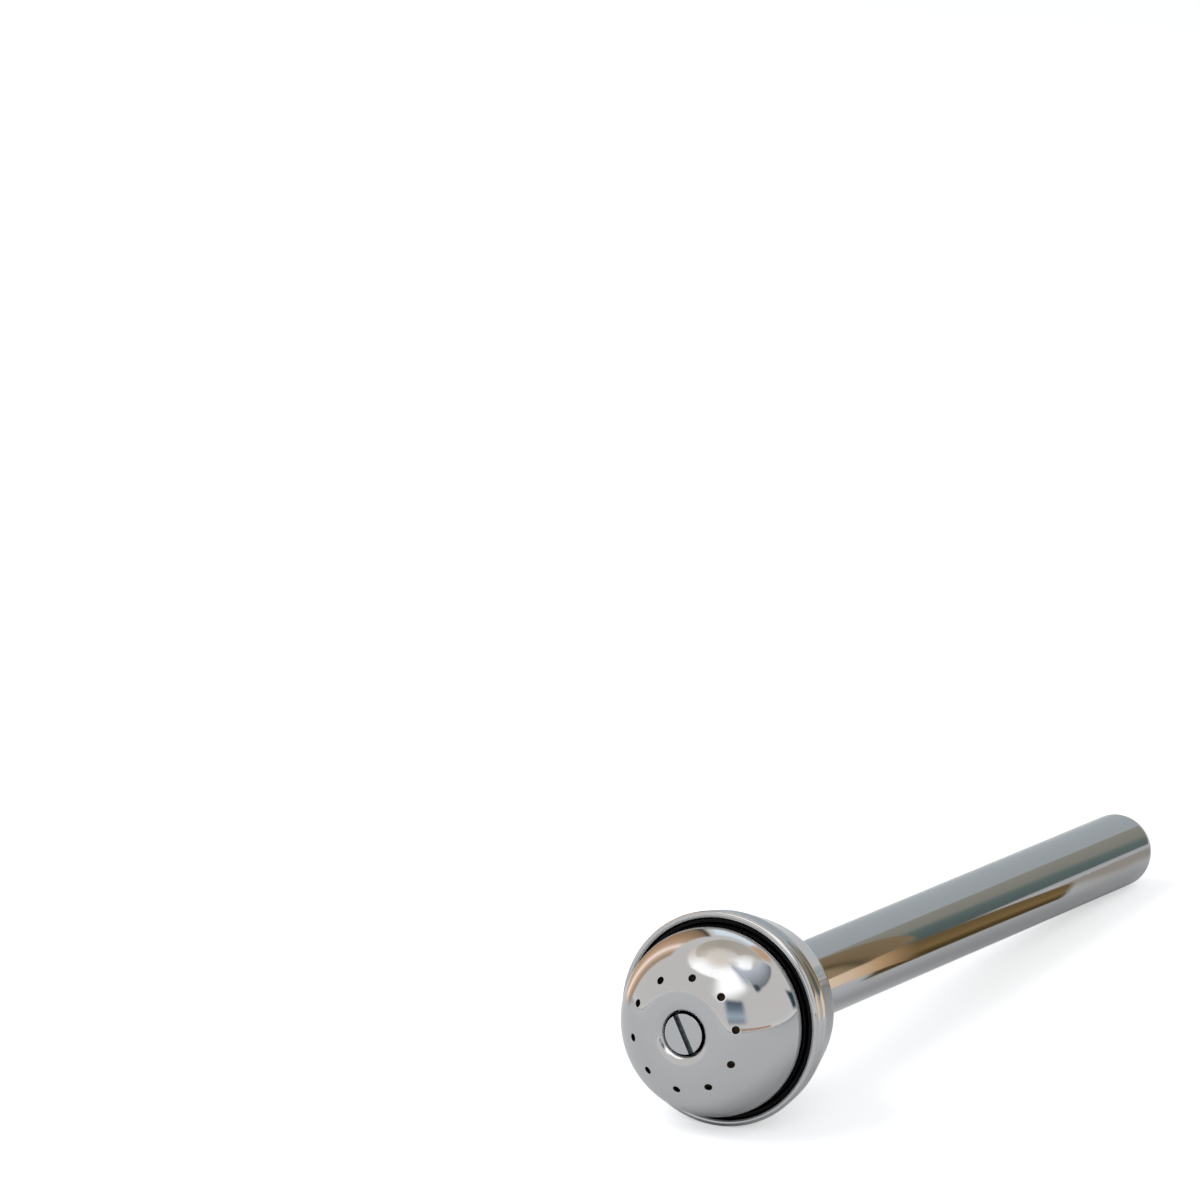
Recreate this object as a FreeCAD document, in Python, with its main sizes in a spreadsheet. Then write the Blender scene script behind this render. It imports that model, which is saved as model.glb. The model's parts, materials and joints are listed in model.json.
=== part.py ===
import FreeCAD, Part
import math
import os

import Sketcher

# A hand sprinkler of polished steel: a round head of two half shells on a straight tube handle.
# The front half is a perforated rose, held on a post inside the head by one slotted screw.
# Every sub-part is drawn about its own Z axis: Z = 0 is where the rose is widest, +Z runs
# along the handle. All of them share one placement, which lays the sprinkler on a table on
# its cup lip and its handle end, with the handle along +Y and the table at Z = 0.

DEGREES_PER_TURN = 360

# Driving dimensions, in millimetres, degrees or plain counts
SIZES = {
    # Handle: a tube with a turned cap in its free end
    "tube_radius": 8.0,
    "tube_wall": 1.0,
    "handle_length": 176.2,
    "end_round": 5.0,
    "cap_land": 0.6,
    "cap_spigot": 6.0,
    # Cup: the rear half of the head, a deep bowl with a rolled lip and a drawn collar. Behind
    # its straight side it bends into a taper, and the taper into a round heel
    "bowl_radius": 21.3,
    "bowl_straight": 4.71,
    "bowl_bend": 8.0,
    "bowl_taper": 17.5,
    "taper_length": 8.8,
    "heel_radius": 12.0,
    "cup_wall": 1.0,
    "lip_front": 1.1,
    "lip_width": 2.9,
    "lip_swell": 0.45,
    "collar_length": 5.8,
    # Post: plug, flange and threaded post turned in one piece
    "plug_length": 4.5,
    "flange_lap": 1.3,
    "flange_thick": 1.4,
    "post_radius": 4.0,
    "post_chamfer": 0.4,
    "thread_room": 2.2,
    # Rubber seal between the rose and the lip
    "seal_recess": 0.8,
    "seal_wall": 0.85,
    "seal_ledge": 2.7,
    "seal_lap": 0.7,
    # Rose: the perforated front half of the head
    "rose_wall": 0.9,
    "shoulder_radius": 16.3,
    "crest_radius": 5.0,
    "dish_roll": 3.95,
    "dish_edge": 2.1,
    "dish_depth": 3.1,
    "hole_count": 10,
    "hole_radius": 0.8,
    "hole_ring": 11.5,
    "hole_turn": 11.6,
    # Screw and the washer under its head
    "washer_inset": 0.15,
    "washer_thick": 0.5,
    "screw_head_radius": 4.1,
    "screw_head_height": 2.0,
    "screw_radius": 2.5,
    "screw_length": 12.0,
    "screw_tip": 0.5,
    "head_bevel": 0.15,
    "slot_width": 1.1,
    "slot_depth": 1.1,
    "slot_turn": 117.7,
    # Clearances
    "brazing_gap": 0.04,
    "seat_gap": 0.05,
    "thread_gap": 0.05,
    "seal_gap": 0.1,
    "rim_gap": 0.15,
    "screw_gap": 0.15,
    "dish_gap": 0.15,
    "sponge_gap": 0.4,
}

# Values worked out from the sizes: first the steel parts, then how the sprinkler lies
WORKED = {
    "tube_bore": "sizes.tube_radius - sizes.tube_wall",
    "bowl_bore": "sizes.bowl_radius - sizes.cup_wall",
    "bend_ring": "sizes.bowl_radius - sizes.bowl_bend",
    "heel_ring": "bend_ring + (sizes.bowl_bend - sizes.heel_radius) * cos(sizes.bowl_taper)"
    " - sizes.taper_length * sin(sizes.bowl_taper)",
    "heel_place": "sizes.bowl_straight + (sizes.bowl_bend - sizes.heel_radius) * sin(sizes.bowl_taper)"
    " + sizes.taper_length * cos(sizes.bowl_taper)",
    "tube_seat": "sizes.heel_radius + sizes.brazing_gap",
    "tube_start": "heel_place + sqrt(tube_seat^2 - (sizes.tube_radius - heel_ring)^2)",
    "handle_end": "tube_start + sizes.handle_length",
    "cap_seam": "handle_end - sizes.end_round - sizes.cap_land",
    "lip_nose": "(sizes.lip_swell + sizes.cup_wall) / 2",
    "lip_radius": "sizes.bowl_radius + sizes.lip_swell",
    "lip_back": "sizes.lip_front + sizes.lip_width",
    "collar_radius": "tube_bore - sizes.brazing_gap",
    "collar_bore": "collar_radius - sizes.cup_wall",
    "plug_radius": "collar_bore - sizes.brazing_gap",
    "flange_radius": "plug_radius + sizes.flange_lap",
    "flange_seat": "sizes.heel_radius - sizes.cup_wall - sizes.brazing_gap",
    "flange_back": "heel_place + sqrt(flange_seat^2 - (flange_radius - heel_ring)^2)",
    "flange_front": "flange_back - sizes.flange_thick",
    "seal_radius": "bowl_bore - sizes.seal_gap",
    "bend_bore": "sizes.bowl_bend - sizes.cup_wall",
    "seal_back": "sizes.bowl_straight + sqrt(bend_bore^2 - (seal_radius - bend_ring)^2)",
    "seal_seat": "seal_back - sizes.seal_ledge",
    "rose_radius": "seal_radius - sizes.seal_wall - sizes.rim_gap",
    "seal_bore": "rose_radius - sizes.rose_wall - sizes.seal_lap",
    "dome_axis": "rose_radius - sizes.shoulder_radius",
    "dish_radius": "sizes.screw_head_radius + sizes.dish_gap",
    "crest_ring": "dish_radius + sizes.dish_roll",
    "crest_gap": "sizes.shoulder_radius - sizes.crest_radius",
    "crest_run": "crest_ring - dome_axis",
    "crest_depth": "sqrt(crest_gap^2 - crest_run^2)",
    "inner_dome": "sizes.shoulder_radius - sizes.rose_wall",
    "inner_crest": "sizes.crest_radius - sizes.rose_wall",
    "well_radius": "dish_radius + sizes.rose_wall",
    "edge_ring": "dish_radius + sizes.dish_edge",
    "edge_place": "crest_depth + sizes.crest_radius - sizes.dish_edge",
    "dish_floor": "crest_depth + sizes.crest_radius - sizes.dish_depth",
    "floor_inside": "dish_floor - sizes.rose_wall",
    "post_front": "floor_inside - sizes.seat_gap",
    "screw_seat": "dish_floor + sizes.washer_thick",
    "screw_face": "screw_seat + sizes.screw_head_height",
    "screw_end": "sizes.screw_length - screw_seat",
    "tap_radius": "sizes.screw_radius + sizes.thread_gap",
    "pass_radius": "sizes.screw_radius + sizes.screw_gap",
    "lip_axis": "lip_radius - lip_nose",
    "lip_place": "sizes.lip_front + lip_nose",
    "reach": "handle_end - sizes.end_round - lip_place",
    "drop": "lip_axis - sizes.tube_radius + sizes.end_round",
    "tilt": "atan(drop / reach) - asin((sizes.end_round - lip_nose) / hypot(reach; drop))",
    "height": "lip_place * sin(tilt) + lip_axis * cos(tilt) + lip_nose",
    "front": "crest_depth * cos(tilt) + crest_ring * sin(tilt) + sizes.crest_radius",
    "back": "(handle_end - sizes.end_round) * cos(tilt)"
    " + (sizes.tube_radius - sizes.end_round) * sin(tilt) + sizes.end_round",
}

doc = FreeCAD.newDocument("sprinkler")
sheet = doc.addObject("Spreadsheet::Sheet", "sizes")
for row, (word, number) in enumerate(SIZES.items(), start=1):
    sheet.set(f"A{row}", str(number))
    sheet.setAlias(f"A{row}", word)
doc.recompute()

worked = doc.addObject("App::VarSet", "worked")
for word, formula in WORKED.items():
    worked.addProperty("App::PropertyFloat", word, "Worked out", "")
    worked.setExpression(word, formula)

# One placement for every sub-part: the local Z axis turned to +Y and tipped down by the tilt,
# so that the lip's nose and the rounded handle end touch the table
worked.addProperty("App::PropertyPlacement", "lying", "Worked out", "")
worked.lying = FreeCAD.Placement(FreeCAD.Vector(), FreeCAD.Rotation(FreeCAD.Vector(1, 0, 0), -90))
worked.setExpression("lying.Rotation.Angle", "-(90 + tilt)")
worked.setExpression("lying.Base.y", "(front - back) / 2")
worked.setExpression("lying.Base.z", "height")
doc.recompute()


def worth(formula):
    """The number that a formula of the sheet gives."""
    return float(worked.evalExpression(formula))


def new_body(label):
    """A PartDesign body that lies with the others."""
    body = doc.addObject("PartDesign::Body", label)
    body.Label = label
    body.setExpression("Placement", "worked.lying")
    return body


def new_sketch(body, name, plane="XZ_Plane"):
    """A sketch on one of the body's own origin planes."""
    sketch = body.newObject("Sketcher::SketchObject", name)
    face = next(f for f in body.Origin.OriginFeatures if f.Role == plane)
    sketch.AttachmentSupport = [(face, "")]
    sketch.MapMode = "FlatFace"
    return sketch


def bind(sketch, kind, *places, size):
    """Adds a dimension and ties it to a formula of the sheet."""
    index = sketch.addConstraint(Sketcher.Constraint(kind, *places, worth(size)))
    sketch.setExpression(f"Constraints[{index}]", size)


def half_section(body, name, corners, arcs=None, plane="XZ_Plane"):
    """A closed outline on an origin plane: each corner is a pair of formulas, across and along.

    arcs maps an edge's number to (radius formula, side). Side is 1 where the arc bulges to
    the left of the way from its first corner to its second, and -1 where to the right.
    """
    arcs = arcs or {}
    sketch = new_sketch(body, name, plane)
    spots = [FreeCAD.Vector(worth(across), worth(along), 0) for across, along in corners]
    ends = []
    for edge, spot in enumerate(spots):
        following = spots[(edge + 1) % len(spots)]
        if edge not in arcs:
            number = sketch.addGeometry(Part.LineSegment(spot, following), False)
            ends.append((number, 1, 2))
            continue
        radius, side = arcs[edge]
        chord = following - spot
        left = FreeCAD.Vector(-chord.y, chord.x, 0).normalize()
        sagitta = worth(radius) - math.sqrt(worth(radius) ** 2 - chord.Length ** 2 / 4)
        middle = (spot + following) / 2 + left * side * sagitta
        number = sketch.addGeometry(Part.Arc(spot, middle, following), False)
        ends.append((number, 1, 2) if side < 0 else (number, 2, 1))
    for edge, (number, start, _) in enumerate(ends):
        before, _, stop = ends[edge - 1]
        sketch.addConstraint(Sketcher.Constraint("Coincident", before, stop, number, start))
    for edge, (across, along) in enumerate(corners):
        number, start, _ = ends[edge]
        if worth(across) == 0:
            sketch.addConstraint(Sketcher.Constraint("PointOnObject", number, start, -2))
        else:
            bind(sketch, "DistanceX", -1, 1, number, start, size=across)
        bind(sketch, "DistanceY", -1, 1, number, start, size=along)
        if edge in arcs:
            bind(sketch, "Radius", number, size=arcs[edge][0])
    return sketch


def revolve(body, sketch, kind="Revolution", axis="V_Axis"):
    """Turns a half section all the way round an axis of its sketch."""
    turned = body.newObject(f"PartDesign::{kind}", f"{sketch.Name}_turned")
    turned.Profile = sketch
    turned.ReferenceAxis = (sketch, [axis])
    turned.Angle = DEGREES_PER_TURN
    sketch.Visibility = False
    return turned


def on_heel(radius, across):
    """Where an arc about the heel's centre, at that distance across, is met along the axis."""
    return f"worked.heel_place + sqrt(({radius})^2 - ({across} - worked.heel_ring)^2)"


def taper_ends(inset):
    """Both ends of the bowl's taper, set inwards by a distance: at the bend and at the heel."""
    return [
        (
            f"worked.bend_ring + (sizes.bowl_bend - ({inset})) * cos(sizes.bowl_taper)",
            f"sizes.bowl_straight + (sizes.bowl_bend - ({inset})) * sin(sizes.bowl_taper)",
        ),
        (
            f"worked.heel_ring + (sizes.heel_radius - ({inset})) * cos(sizes.bowl_taper)",
            f"worked.heel_place + (sizes.heel_radius - ({inset})) * sin(sizes.bowl_taper)",
        ),
    ]


def make_handle_tube():
    """The handle's tube. Its head end is cut to sit on the bowl's round heel."""
    body = new_body("handle_tube")
    corners = [
        ("worked.tube_bore", on_heel("worked.tube_seat", "worked.tube_bore")),
        ("sizes.tube_radius", "worked.tube_start"),
        ("sizes.tube_radius", "worked.cap_seam"),
        ("worked.tube_bore", "worked.cap_seam"),
    ]
    revolve(body, half_section(body, "tube_section", corners, {0: ("worked.tube_seat", 1)}))
    return body


def make_handle_end_cap():
    """The turned cap that closes the handle, polished flush with the tube."""
    body = new_body("handle_end_cap")
    spigot = "worked.tube_bore - sizes.brazing_gap"
    corners = [
        ("0", "worked.cap_seam - sizes.cap_spigot"),
        (spigot, "worked.cap_seam - sizes.cap_spigot"),
        (spigot, "worked.cap_seam"),
        ("sizes.tube_radius", "worked.cap_seam"),
        ("sizes.tube_radius", "worked.handle_end - sizes.end_round"),
        ("sizes.tube_radius - sizes.end_round", "worked.handle_end"),
        ("0", "worked.handle_end"),
    ]
    revolve(body, half_section(body, "cap_section", corners, {4: ("sizes.end_round", -1)}))
    return body


def make_cup():
    """The rear shell: rolled lip, bowl, and the collar that plugs into the tube."""
    body = new_body("cup")
    collar_start = on_heel("sizes.heel_radius", "worked.collar_radius")
    heel_bore = "(sizes.heel_radius - sizes.cup_wall)"
    corners = [
        ("worked.bowl_bore", "worked.lip_place"),
        ("worked.lip_axis", "sizes.lip_front"),
        ("worked.lip_radius", "worked.lip_place"),
        ("sizes.bowl_radius", "worked.lip_back"),
        ("sizes.bowl_radius", "sizes.bowl_straight"),
        *taper_ends("0"),
        ("worked.collar_radius", collar_start),
        ("worked.collar_radius", f"{collar_start} + sizes.collar_length"),
        ("worked.collar_bore", f"{collar_start} + sizes.collar_length"),
        ("worked.collar_bore", on_heel(heel_bore, "worked.collar_bore")),
        *reversed(taper_ends("sizes.cup_wall")),
        ("worked.bowl_bore", "sizes.bowl_straight"),
    ]
    arcs = {
        0: ("worked.lip_nose", -1),
        1: ("worked.lip_nose", -1),
        2: ("sizes.lip_width * 2", -1),
        4: ("sizes.bowl_bend", -1),
        6: ("sizes.heel_radius", -1),
        10: (heel_bore, 1),
        12: ("worked.bend_bore", 1),
    }
    revolve(body, half_section(body, "cup_section", corners, arcs))
    return body


def make_centre_post():
    """Plug, flange and post in one turned piece, tapped for the rose screw."""
    body = new_body("centre_post")
    tap_end = "worked.screw_end + sizes.thread_room"
    corners = [
        ("0", f"{tap_end} + worked.tap_radius / 2"),
        ("worked.tap_radius", tap_end),
        ("worked.tap_radius", "-worked.post_front"),
        ("sizes.post_radius - sizes.post_chamfer", "-worked.post_front"),
        ("sizes.post_radius", "sizes.post_chamfer - worked.post_front"),
        ("sizes.post_radius", "worked.flange_front"),
        ("worked.flange_radius", "worked.flange_front"),
        ("worked.flange_radius", "worked.flange_back"),
        ("worked.plug_radius", "worked.flange_back"),
        ("worked.plug_radius", "worked.flange_back + sizes.plug_length"),
        ("0", "worked.flange_back + sizes.plug_length"),
    ]
    revolve(body, half_section(body, "post_section", corners))
    return body


def make_seal_ring():
    """The black rubber ring: a wall round the rose's skirt and a ledge under it."""
    body = new_body("seal_ring")
    wall = "worked.rose_radius + sizes.rim_gap"
    front = "sizes.lip_front + sizes.seal_recess"
    corners = [
        (wall, front),
        ("worked.seal_radius", front),
        ("worked.seal_radius", "worked.seal_back"),
        ("worked.seal_bore", "worked.seal_back"),
        ("worked.seal_bore", "worked.seal_seat"),
        (wall, "worked.seal_seat"),
    ]
    revolve(body, half_section(body, "seal_section", corners))
    return body


def make_sponge():
    """The sponge: a ring round the post that fills the head and is necked by the seal."""
    body = new_body("sponge")
    bore = "sizes.post_radius + sizes.sponge_gap"
    mouth = "worked.well_radius + sizes.sponge_gap"
    step = "sizes.sponge_gap - worked.floor_inside"
    front = "sizes.sponge_gap - worked.edge_place"
    waist = "worked.seal_bore - sizes.sponge_gap"
    waist_back = "worked.seal_back + sizes.sponge_gap"
    back = "worked.flange_front - sizes.sponge_gap"
    bend = "(worked.bend_bore - sizes.sponge_gap)"
    heel = "(sizes.heel_radius - sizes.cup_wall - sizes.sponge_gap)"
    dome = "(worked.inner_dome - sizes.sponge_gap)"
    corners = [
        (bore, step),
        (mouth, step),
        (mouth, front),
        (f"worked.dome_axis + sqrt({dome}^2 - ({front})^2)", front),
        (waist, f"-sqrt({dome}^2 - ({waist} - worked.dome_axis)^2)"),
        (waist, waist_back),
        (
            f"worked.bend_ring + sqrt({bend}^2 - ({waist_back} - sizes.bowl_straight)^2)",
            waist_back,
        ),
        *taper_ends("sizes.cup_wall + sizes.sponge_gap"),
        (f"worked.heel_ring + sqrt({heel}^2 - ({back} - worked.heel_place)^2)", back),
        (bore, back),
    ]
    arcs = {3: (dome, -1), 6: (bend, -1), 8: (heel, -1)}
    revolve(body, half_section(body, "sponge_section", corners, arcs))
    return body


def make_rose():
    """The domed front shell: skirt, shoulder, crest, a dish for the screw, and its holes."""
    body = new_body("rose")
    inside = "worked.rose_radius - sizes.rose_wall"
    skirt_end = "worked.seal_seat - sizes.seat_gap"
    # The crest is flat between its own arc and the dish's rounded edge
    crest_top = "-worked.crest_depth - sizes.crest_radius"
    crest_under = "-worked.crest_depth - worked.inner_crest"
    corners = [
        ("worked.rose_radius", skirt_end),
        (inside, skirt_end),
        (inside, "0"),
        (
            "worked.dome_axis + worked.inner_dome * worked.crest_run / worked.crest_gap",
            "-worked.inner_dome * worked.crest_depth / worked.crest_gap",
        ),
        ("worked.crest_ring", crest_under),
        ("worked.edge_ring", crest_under),
        ("worked.well_radius", "-worked.edge_place"),
        ("worked.well_radius", "-worked.floor_inside"),
        ("worked.pass_radius", "-worked.floor_inside"),
        ("worked.pass_radius", "-worked.dish_floor"),
        ("worked.dish_radius", "-worked.dish_floor"),
        ("worked.dish_radius", "-worked.edge_place"),
        ("worked.edge_ring", crest_top),
        ("worked.crest_ring", crest_top),
        (
            "worked.dome_axis + sizes.shoulder_radius * worked.crest_run / worked.crest_gap",
            "-sizes.shoulder_radius * worked.crest_depth / worked.crest_gap",
        ),
        ("worked.rose_radius", "0"),
    ]
    arcs = {
        2: ("worked.inner_dome", 1),
        3: ("worked.inner_crest", 1),
        5: ("sizes.dish_edge - sizes.rose_wall", 1),
        11: ("sizes.dish_edge", -1),
        13: ("sizes.crest_radius", -1),
        14: ("sizes.shoulder_radius", -1),
    }
    revolve(body, half_section(body, "rose_section", corners, arcs))
    drill_rose(body)
    turn_about_axis(body, "sizes.hole_turn")
    return body


def drill_rose(body):
    """One small hole, drilled square to the dome, and its copies round the rose."""
    lean = "asin((sizes.hole_ring - worked.dome_axis) / sizes.shoulder_radius)"
    outside = "sizes.shoulder_radius + sizes.rose_wall"
    inside = "worked.inner_dome - sizes.rose_wall"
    across = math.sin(math.radians(worth(lean)))
    along = FreeCAD.Vector(across, -math.sqrt(1 - across**2), 0)
    aside = FreeCAD.Vector(-along.y, along.x, 0) * worth("sizes.hole_radius")
    start = FreeCAD.Vector(worth("worked.dome_axis"), 0, 0)
    near = start + along * worth(inside)
    far = start + along * worth(outside)
    spots = [near, far, far + aside, near + aside]
    sketch = new_sketch(body, "hole_section")
    for edge, spot in enumerate(spots):
        sketch.addGeometry(Part.LineSegment(spot, spots[(edge + 1) % len(spots)]), False)
    for edge in range(len(spots)):
        following = (edge + 1) % len(spots)
        sketch.addConstraint(Sketcher.Constraint("Coincident", edge, 2, following, 1))
        if following:
            sketch.addConstraint(Sketcher.Constraint("Perpendicular", edge, following))
    # The drill's line, from the centre of the dome's arc to the start of the hole
    drill = sketch.addGeometry(Part.LineSegment(start, near), True)
    sketch.addConstraint(Sketcher.Constraint("Coincident", drill, 2, 0, 1))
    sketch.addConstraint(Sketcher.Constraint("PointOnObject", drill, 1, -1))
    sketch.addConstraint(Sketcher.Constraint("Parallel", drill, 0))
    bind(sketch, "DistanceX", -1, 1, drill, 1, size="worked.dome_axis")
    bind(sketch, "DistanceX", drill, 1, drill, 2, size=f"({inside}) * sin({lean})")
    bind(sketch, "Distance", drill, size=inside)
    bind(sketch, "Distance", 0, size="sizes.rose_wall * 3")
    bind(sketch, "Distance", 1, size="sizes.hole_radius")
    hole = revolve(body, sketch, "Groove", "Axis0")
    ring = body.newObject("PartDesign::PolarPattern", "hole_ring")
    ring.Originals = [hole]
    ring.Axis = (next(f for f in body.Origin.OriginFeatures if f.Role == "Z_Axis"), [""])
    ring.Angle = DEGREES_PER_TURN
    ring.setExpression("Occurrences", "sizes.hole_count")
    body.Tip = ring


def turn_about_axis(body, angle):
    """Turns a lying body about its own axis, up from +X."""
    turn = f"placement(vector(0; 0; 0); vector(0; 0; 1); -{angle})"
    body.setExpression("Placement", f"worked.lying * {turn}")


def make_screw_washer():
    """The flat sealing washer in the rose's dish."""
    body = new_body("screw_washer")
    edge = "sizes.screw_head_radius - sizes.washer_inset"
    corners = [
        ("worked.pass_radius", "-worked.screw_seat"),
        (edge, "-worked.screw_seat"),
        (edge, "-worked.dish_floor"),
        ("worked.pass_radius", "-worked.dish_floor"),
    ]
    revolve(body, half_section(body, "washer_section", corners))
    return body


def make_rose_screw():
    """The slotted screw: a flat round head with bevelled edges on a plain shank."""
    body = new_body("rose_screw")
    corners = [
        ("0", "-worked.screw_face"),
        ("sizes.screw_head_radius - sizes.head_bevel", "-worked.screw_face"),
        ("sizes.screw_head_radius", "sizes.head_bevel - worked.screw_face"),
        ("sizes.screw_head_radius", "-worked.screw_seat"),
        ("sizes.screw_radius", "-worked.screw_seat"),
        ("sizes.screw_radius", "worked.screw_end - sizes.screw_tip"),
        ("sizes.screw_radius - sizes.screw_tip", "worked.screw_end"),
        ("0", "worked.screw_end"),
    ]
    revolve(body, half_section(body, "screw_section", corners))
    saw_slot(body)
    turn_about_axis(body, "sizes.slot_turn")
    return body


def saw_slot(body):
    """The slot, sawn right across the screw's head."""
    half = "sizes.slot_width / 2"
    bottom = "sizes.slot_depth - worked.screw_face"
    above = "-sizes.slot_depth - worked.screw_face"
    corners = [(f"-{half}", above), (half, above), (half, bottom), (f"-{half}", bottom)]
    cut = body.newObject("PartDesign::Pocket", "slot")
    cut.Profile = half_section(body, "slot_section", corners, plane="YZ_Plane")
    cut.Type = "ThroughAll"
    cut.Midplane = True


bodies = [
    make_handle_tube(),
    make_handle_end_cap(),
    make_cup(),
    make_centre_post(),
    make_seal_ring(),
    make_sponge(),
    make_rose(),
    make_screw_washer(),
    make_rose_screw(),
]
doc.recompute()

# Nothing is written unless every feature and every shape is sound
for item in doc.Objects:
    broken = [state for state in item.State if state in ("Invalid", "Error")]
    if broken:
        raise RuntimeError(f"{item.Name} is {broken}")
for body in bodies:
    if body.Shape.isNull() or not body.Shape.isValid() or len(body.Shape.Solids) != 1:
        raise RuntimeError(f"{body.Label} has no sound solid")

os.makedirs("parts", exist_ok=True)
for body in bodies:
    body.Shape.exportStep(f"parts/{body.Label}.step")
    box = body.Shape.optimalBoundingBox()
    print(
        f"{body.Label}: volume {body.Shape.Volume:.1f} mm3, Y {box.YMin:.2f} to {box.YMax:.2f},"
        f" Z {box.ZMin:.2f} to {box.ZMax:.2f}"
    )
print(f"tilt {worked.tilt:.4f} degrees, axis {worked.height:.3f} mm above the table")
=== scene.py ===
import json
import math

import bmesh
import bpy
import numpy as np
from bpy.props import FloatProperty, FloatVectorProperty, IntProperty, PointerProperty
from mathutils import Matrix, Vector


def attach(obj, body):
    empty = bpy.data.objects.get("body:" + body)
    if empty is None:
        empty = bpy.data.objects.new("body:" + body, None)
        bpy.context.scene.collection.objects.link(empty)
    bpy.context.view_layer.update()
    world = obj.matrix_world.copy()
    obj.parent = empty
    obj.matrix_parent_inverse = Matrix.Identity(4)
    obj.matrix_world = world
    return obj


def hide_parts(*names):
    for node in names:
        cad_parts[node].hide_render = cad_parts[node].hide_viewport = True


bl_info = {
    "name": "Hand Sprinkler",
    "version": (1, 0, 0),
    "blender": (4, 5, 0),
    "location": "View3D > Sidebar > Sprinkler",
    "description": "Dresses the packed hand sprinkler in polished steel, rubber and sponge",
    "category": "Object",
}

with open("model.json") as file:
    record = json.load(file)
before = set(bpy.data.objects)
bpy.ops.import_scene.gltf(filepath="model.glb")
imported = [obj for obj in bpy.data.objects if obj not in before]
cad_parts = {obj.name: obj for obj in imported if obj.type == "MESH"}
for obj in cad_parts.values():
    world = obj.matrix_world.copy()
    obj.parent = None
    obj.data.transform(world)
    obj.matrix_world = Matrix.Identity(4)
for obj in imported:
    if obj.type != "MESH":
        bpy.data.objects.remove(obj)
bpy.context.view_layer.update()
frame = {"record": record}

# Every piece is turned about the sprinkler's own axis. Its local place is (x, y, along), in
# metres: along runs from the head to the handle's end and is 0 where the rose is widest, x is
# the row's X, and y points down.
JOINTS = {joint["name"]: joint for joint in frame["record"]["behaviour"]["joints"]}
ALONG = -np.array(JOINTS["rose_off"]["axis"]) / np.linalg.norm(JOINTS["rose_off"]["axis"])
SIDE = np.array([1.0, 0.0, 0.0])
DOWN = np.cross(ALONG, SIDE)
SCREW_FACE_MIDDLE = np.array(JOINTS["screw_turn"]["pos_m"])
SPRINKLER_TILT = math.asin(-ALONG[2])

# Degrees of an arc in one step, and steps round the axis: fine enough for mirror-like reflections
ARC_STEP = 2.0
TURN_STEPS = 240
SHARP_ANGLE = math.radians(35)
MERGE_DISTANCE = 4e-7
SHADING_GUARD = 0.00004
MM_PER_M = 1000

# Gaps between pieces, in metres
BRAZING_GAP = 0.00004
FACE_GAP = 0.00005
SCREW_GAP = 0.00015
SKIRT_GAP = 0.0002
SPONGE_GAP = 0.0004

# Lengths of the hidden fits, in metres. The seal laps the rose's skirt on the inside by its lap
FLANGE_THICK = 0.0014
PLUG_LENGTH = 0.0045
TAP_SPARE = 0.0022
SEAL_LAP = 0.0007
SCREW_TIP = 0.0005
THREAD_DEPTH = 0.00038
TAP_THREAD_DEPTH = 0.00035

# Roundings of edges, in metres
HOLE_EDGE = 0.00006
SEAT_EDGE = 0.0001
WASHER_EDGE = 0.00012
HEAD_EDGE = 0.00015
TURNED_EDGE = 0.00025
DISH_CORNER = 0.0004
SPONGE_EDGE = 0.0008

# The part of the dome on either side of the hole ring that has grids of its own
HOLE_ZONE = 0.002
HOLE_SIDE_STEPS = 20
HOLE_OUTER_ROWS = 13
HOLE_INNER_ROWS = 9

# The screw's head: steps along its outline, and the guard that keeps its flat faces flat
HEAD_ARC_STEPS = 72
HEAD_EDGE_STEPS = 16
HEAD_GAP_STEPS = 6
HEAD_GUARD = 0.00003
SLOT_SLACK = 0.00001
SLOT_TOP = 0.0002

# The sponge: points along its outline and round it, and the width and depth of its pores
SPONGE_STEPS = 230
SPONGE_TURN_STEPS = 260
BIG_PORE, BIG_PORE_DEPTH = 0.0030, 0.0011
SMALL_PORE, SMALL_PORE_DEPTH = 0.0012, 0.00035

# The stage: what the steel takes from a card's light, and plain levels of floor and world
STEEL_TAKES = 1.9
FLOOR_GLOW = 0.5
FLOOR_REACH = 4
SOFT_LEVEL = 0.42
# Height of the card of painted shade on the floor, which only the metal shows
FLOOR_SHADE_HEIGHT = 0.0006


def linear(code):
    """An sRGB hex code as linear colour: c / 12.92 near black, ((c + 0.055) / 1.055)^2.4 above."""
    parts = [int(code[i : i + 2], 16) / 255 for i in (1, 3, 5)]
    return tuple(c / 12.92 if c <= 0.04045 else ((c + 0.055) / 1.055) ** 2.4 for c in parts)


def length(name, words, metres):
    """A size that a user may change."""
    return FloatProperty(name=name, description=words, default=metres, min=0, precision=5, unit="LENGTH")


def slant(name, words, degrees):
    """An angle that a user may change."""
    return FloatProperty(name=name, description=words, default=math.radians(degrees), subtype="ANGLE")


def colour(name, words, code):
    """A colour that a user may change."""
    return FloatVectorProperty(
        name=name, description=words, default=linear(code), min=0, max=1, size=3, subtype="COLOR"
    )


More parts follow.
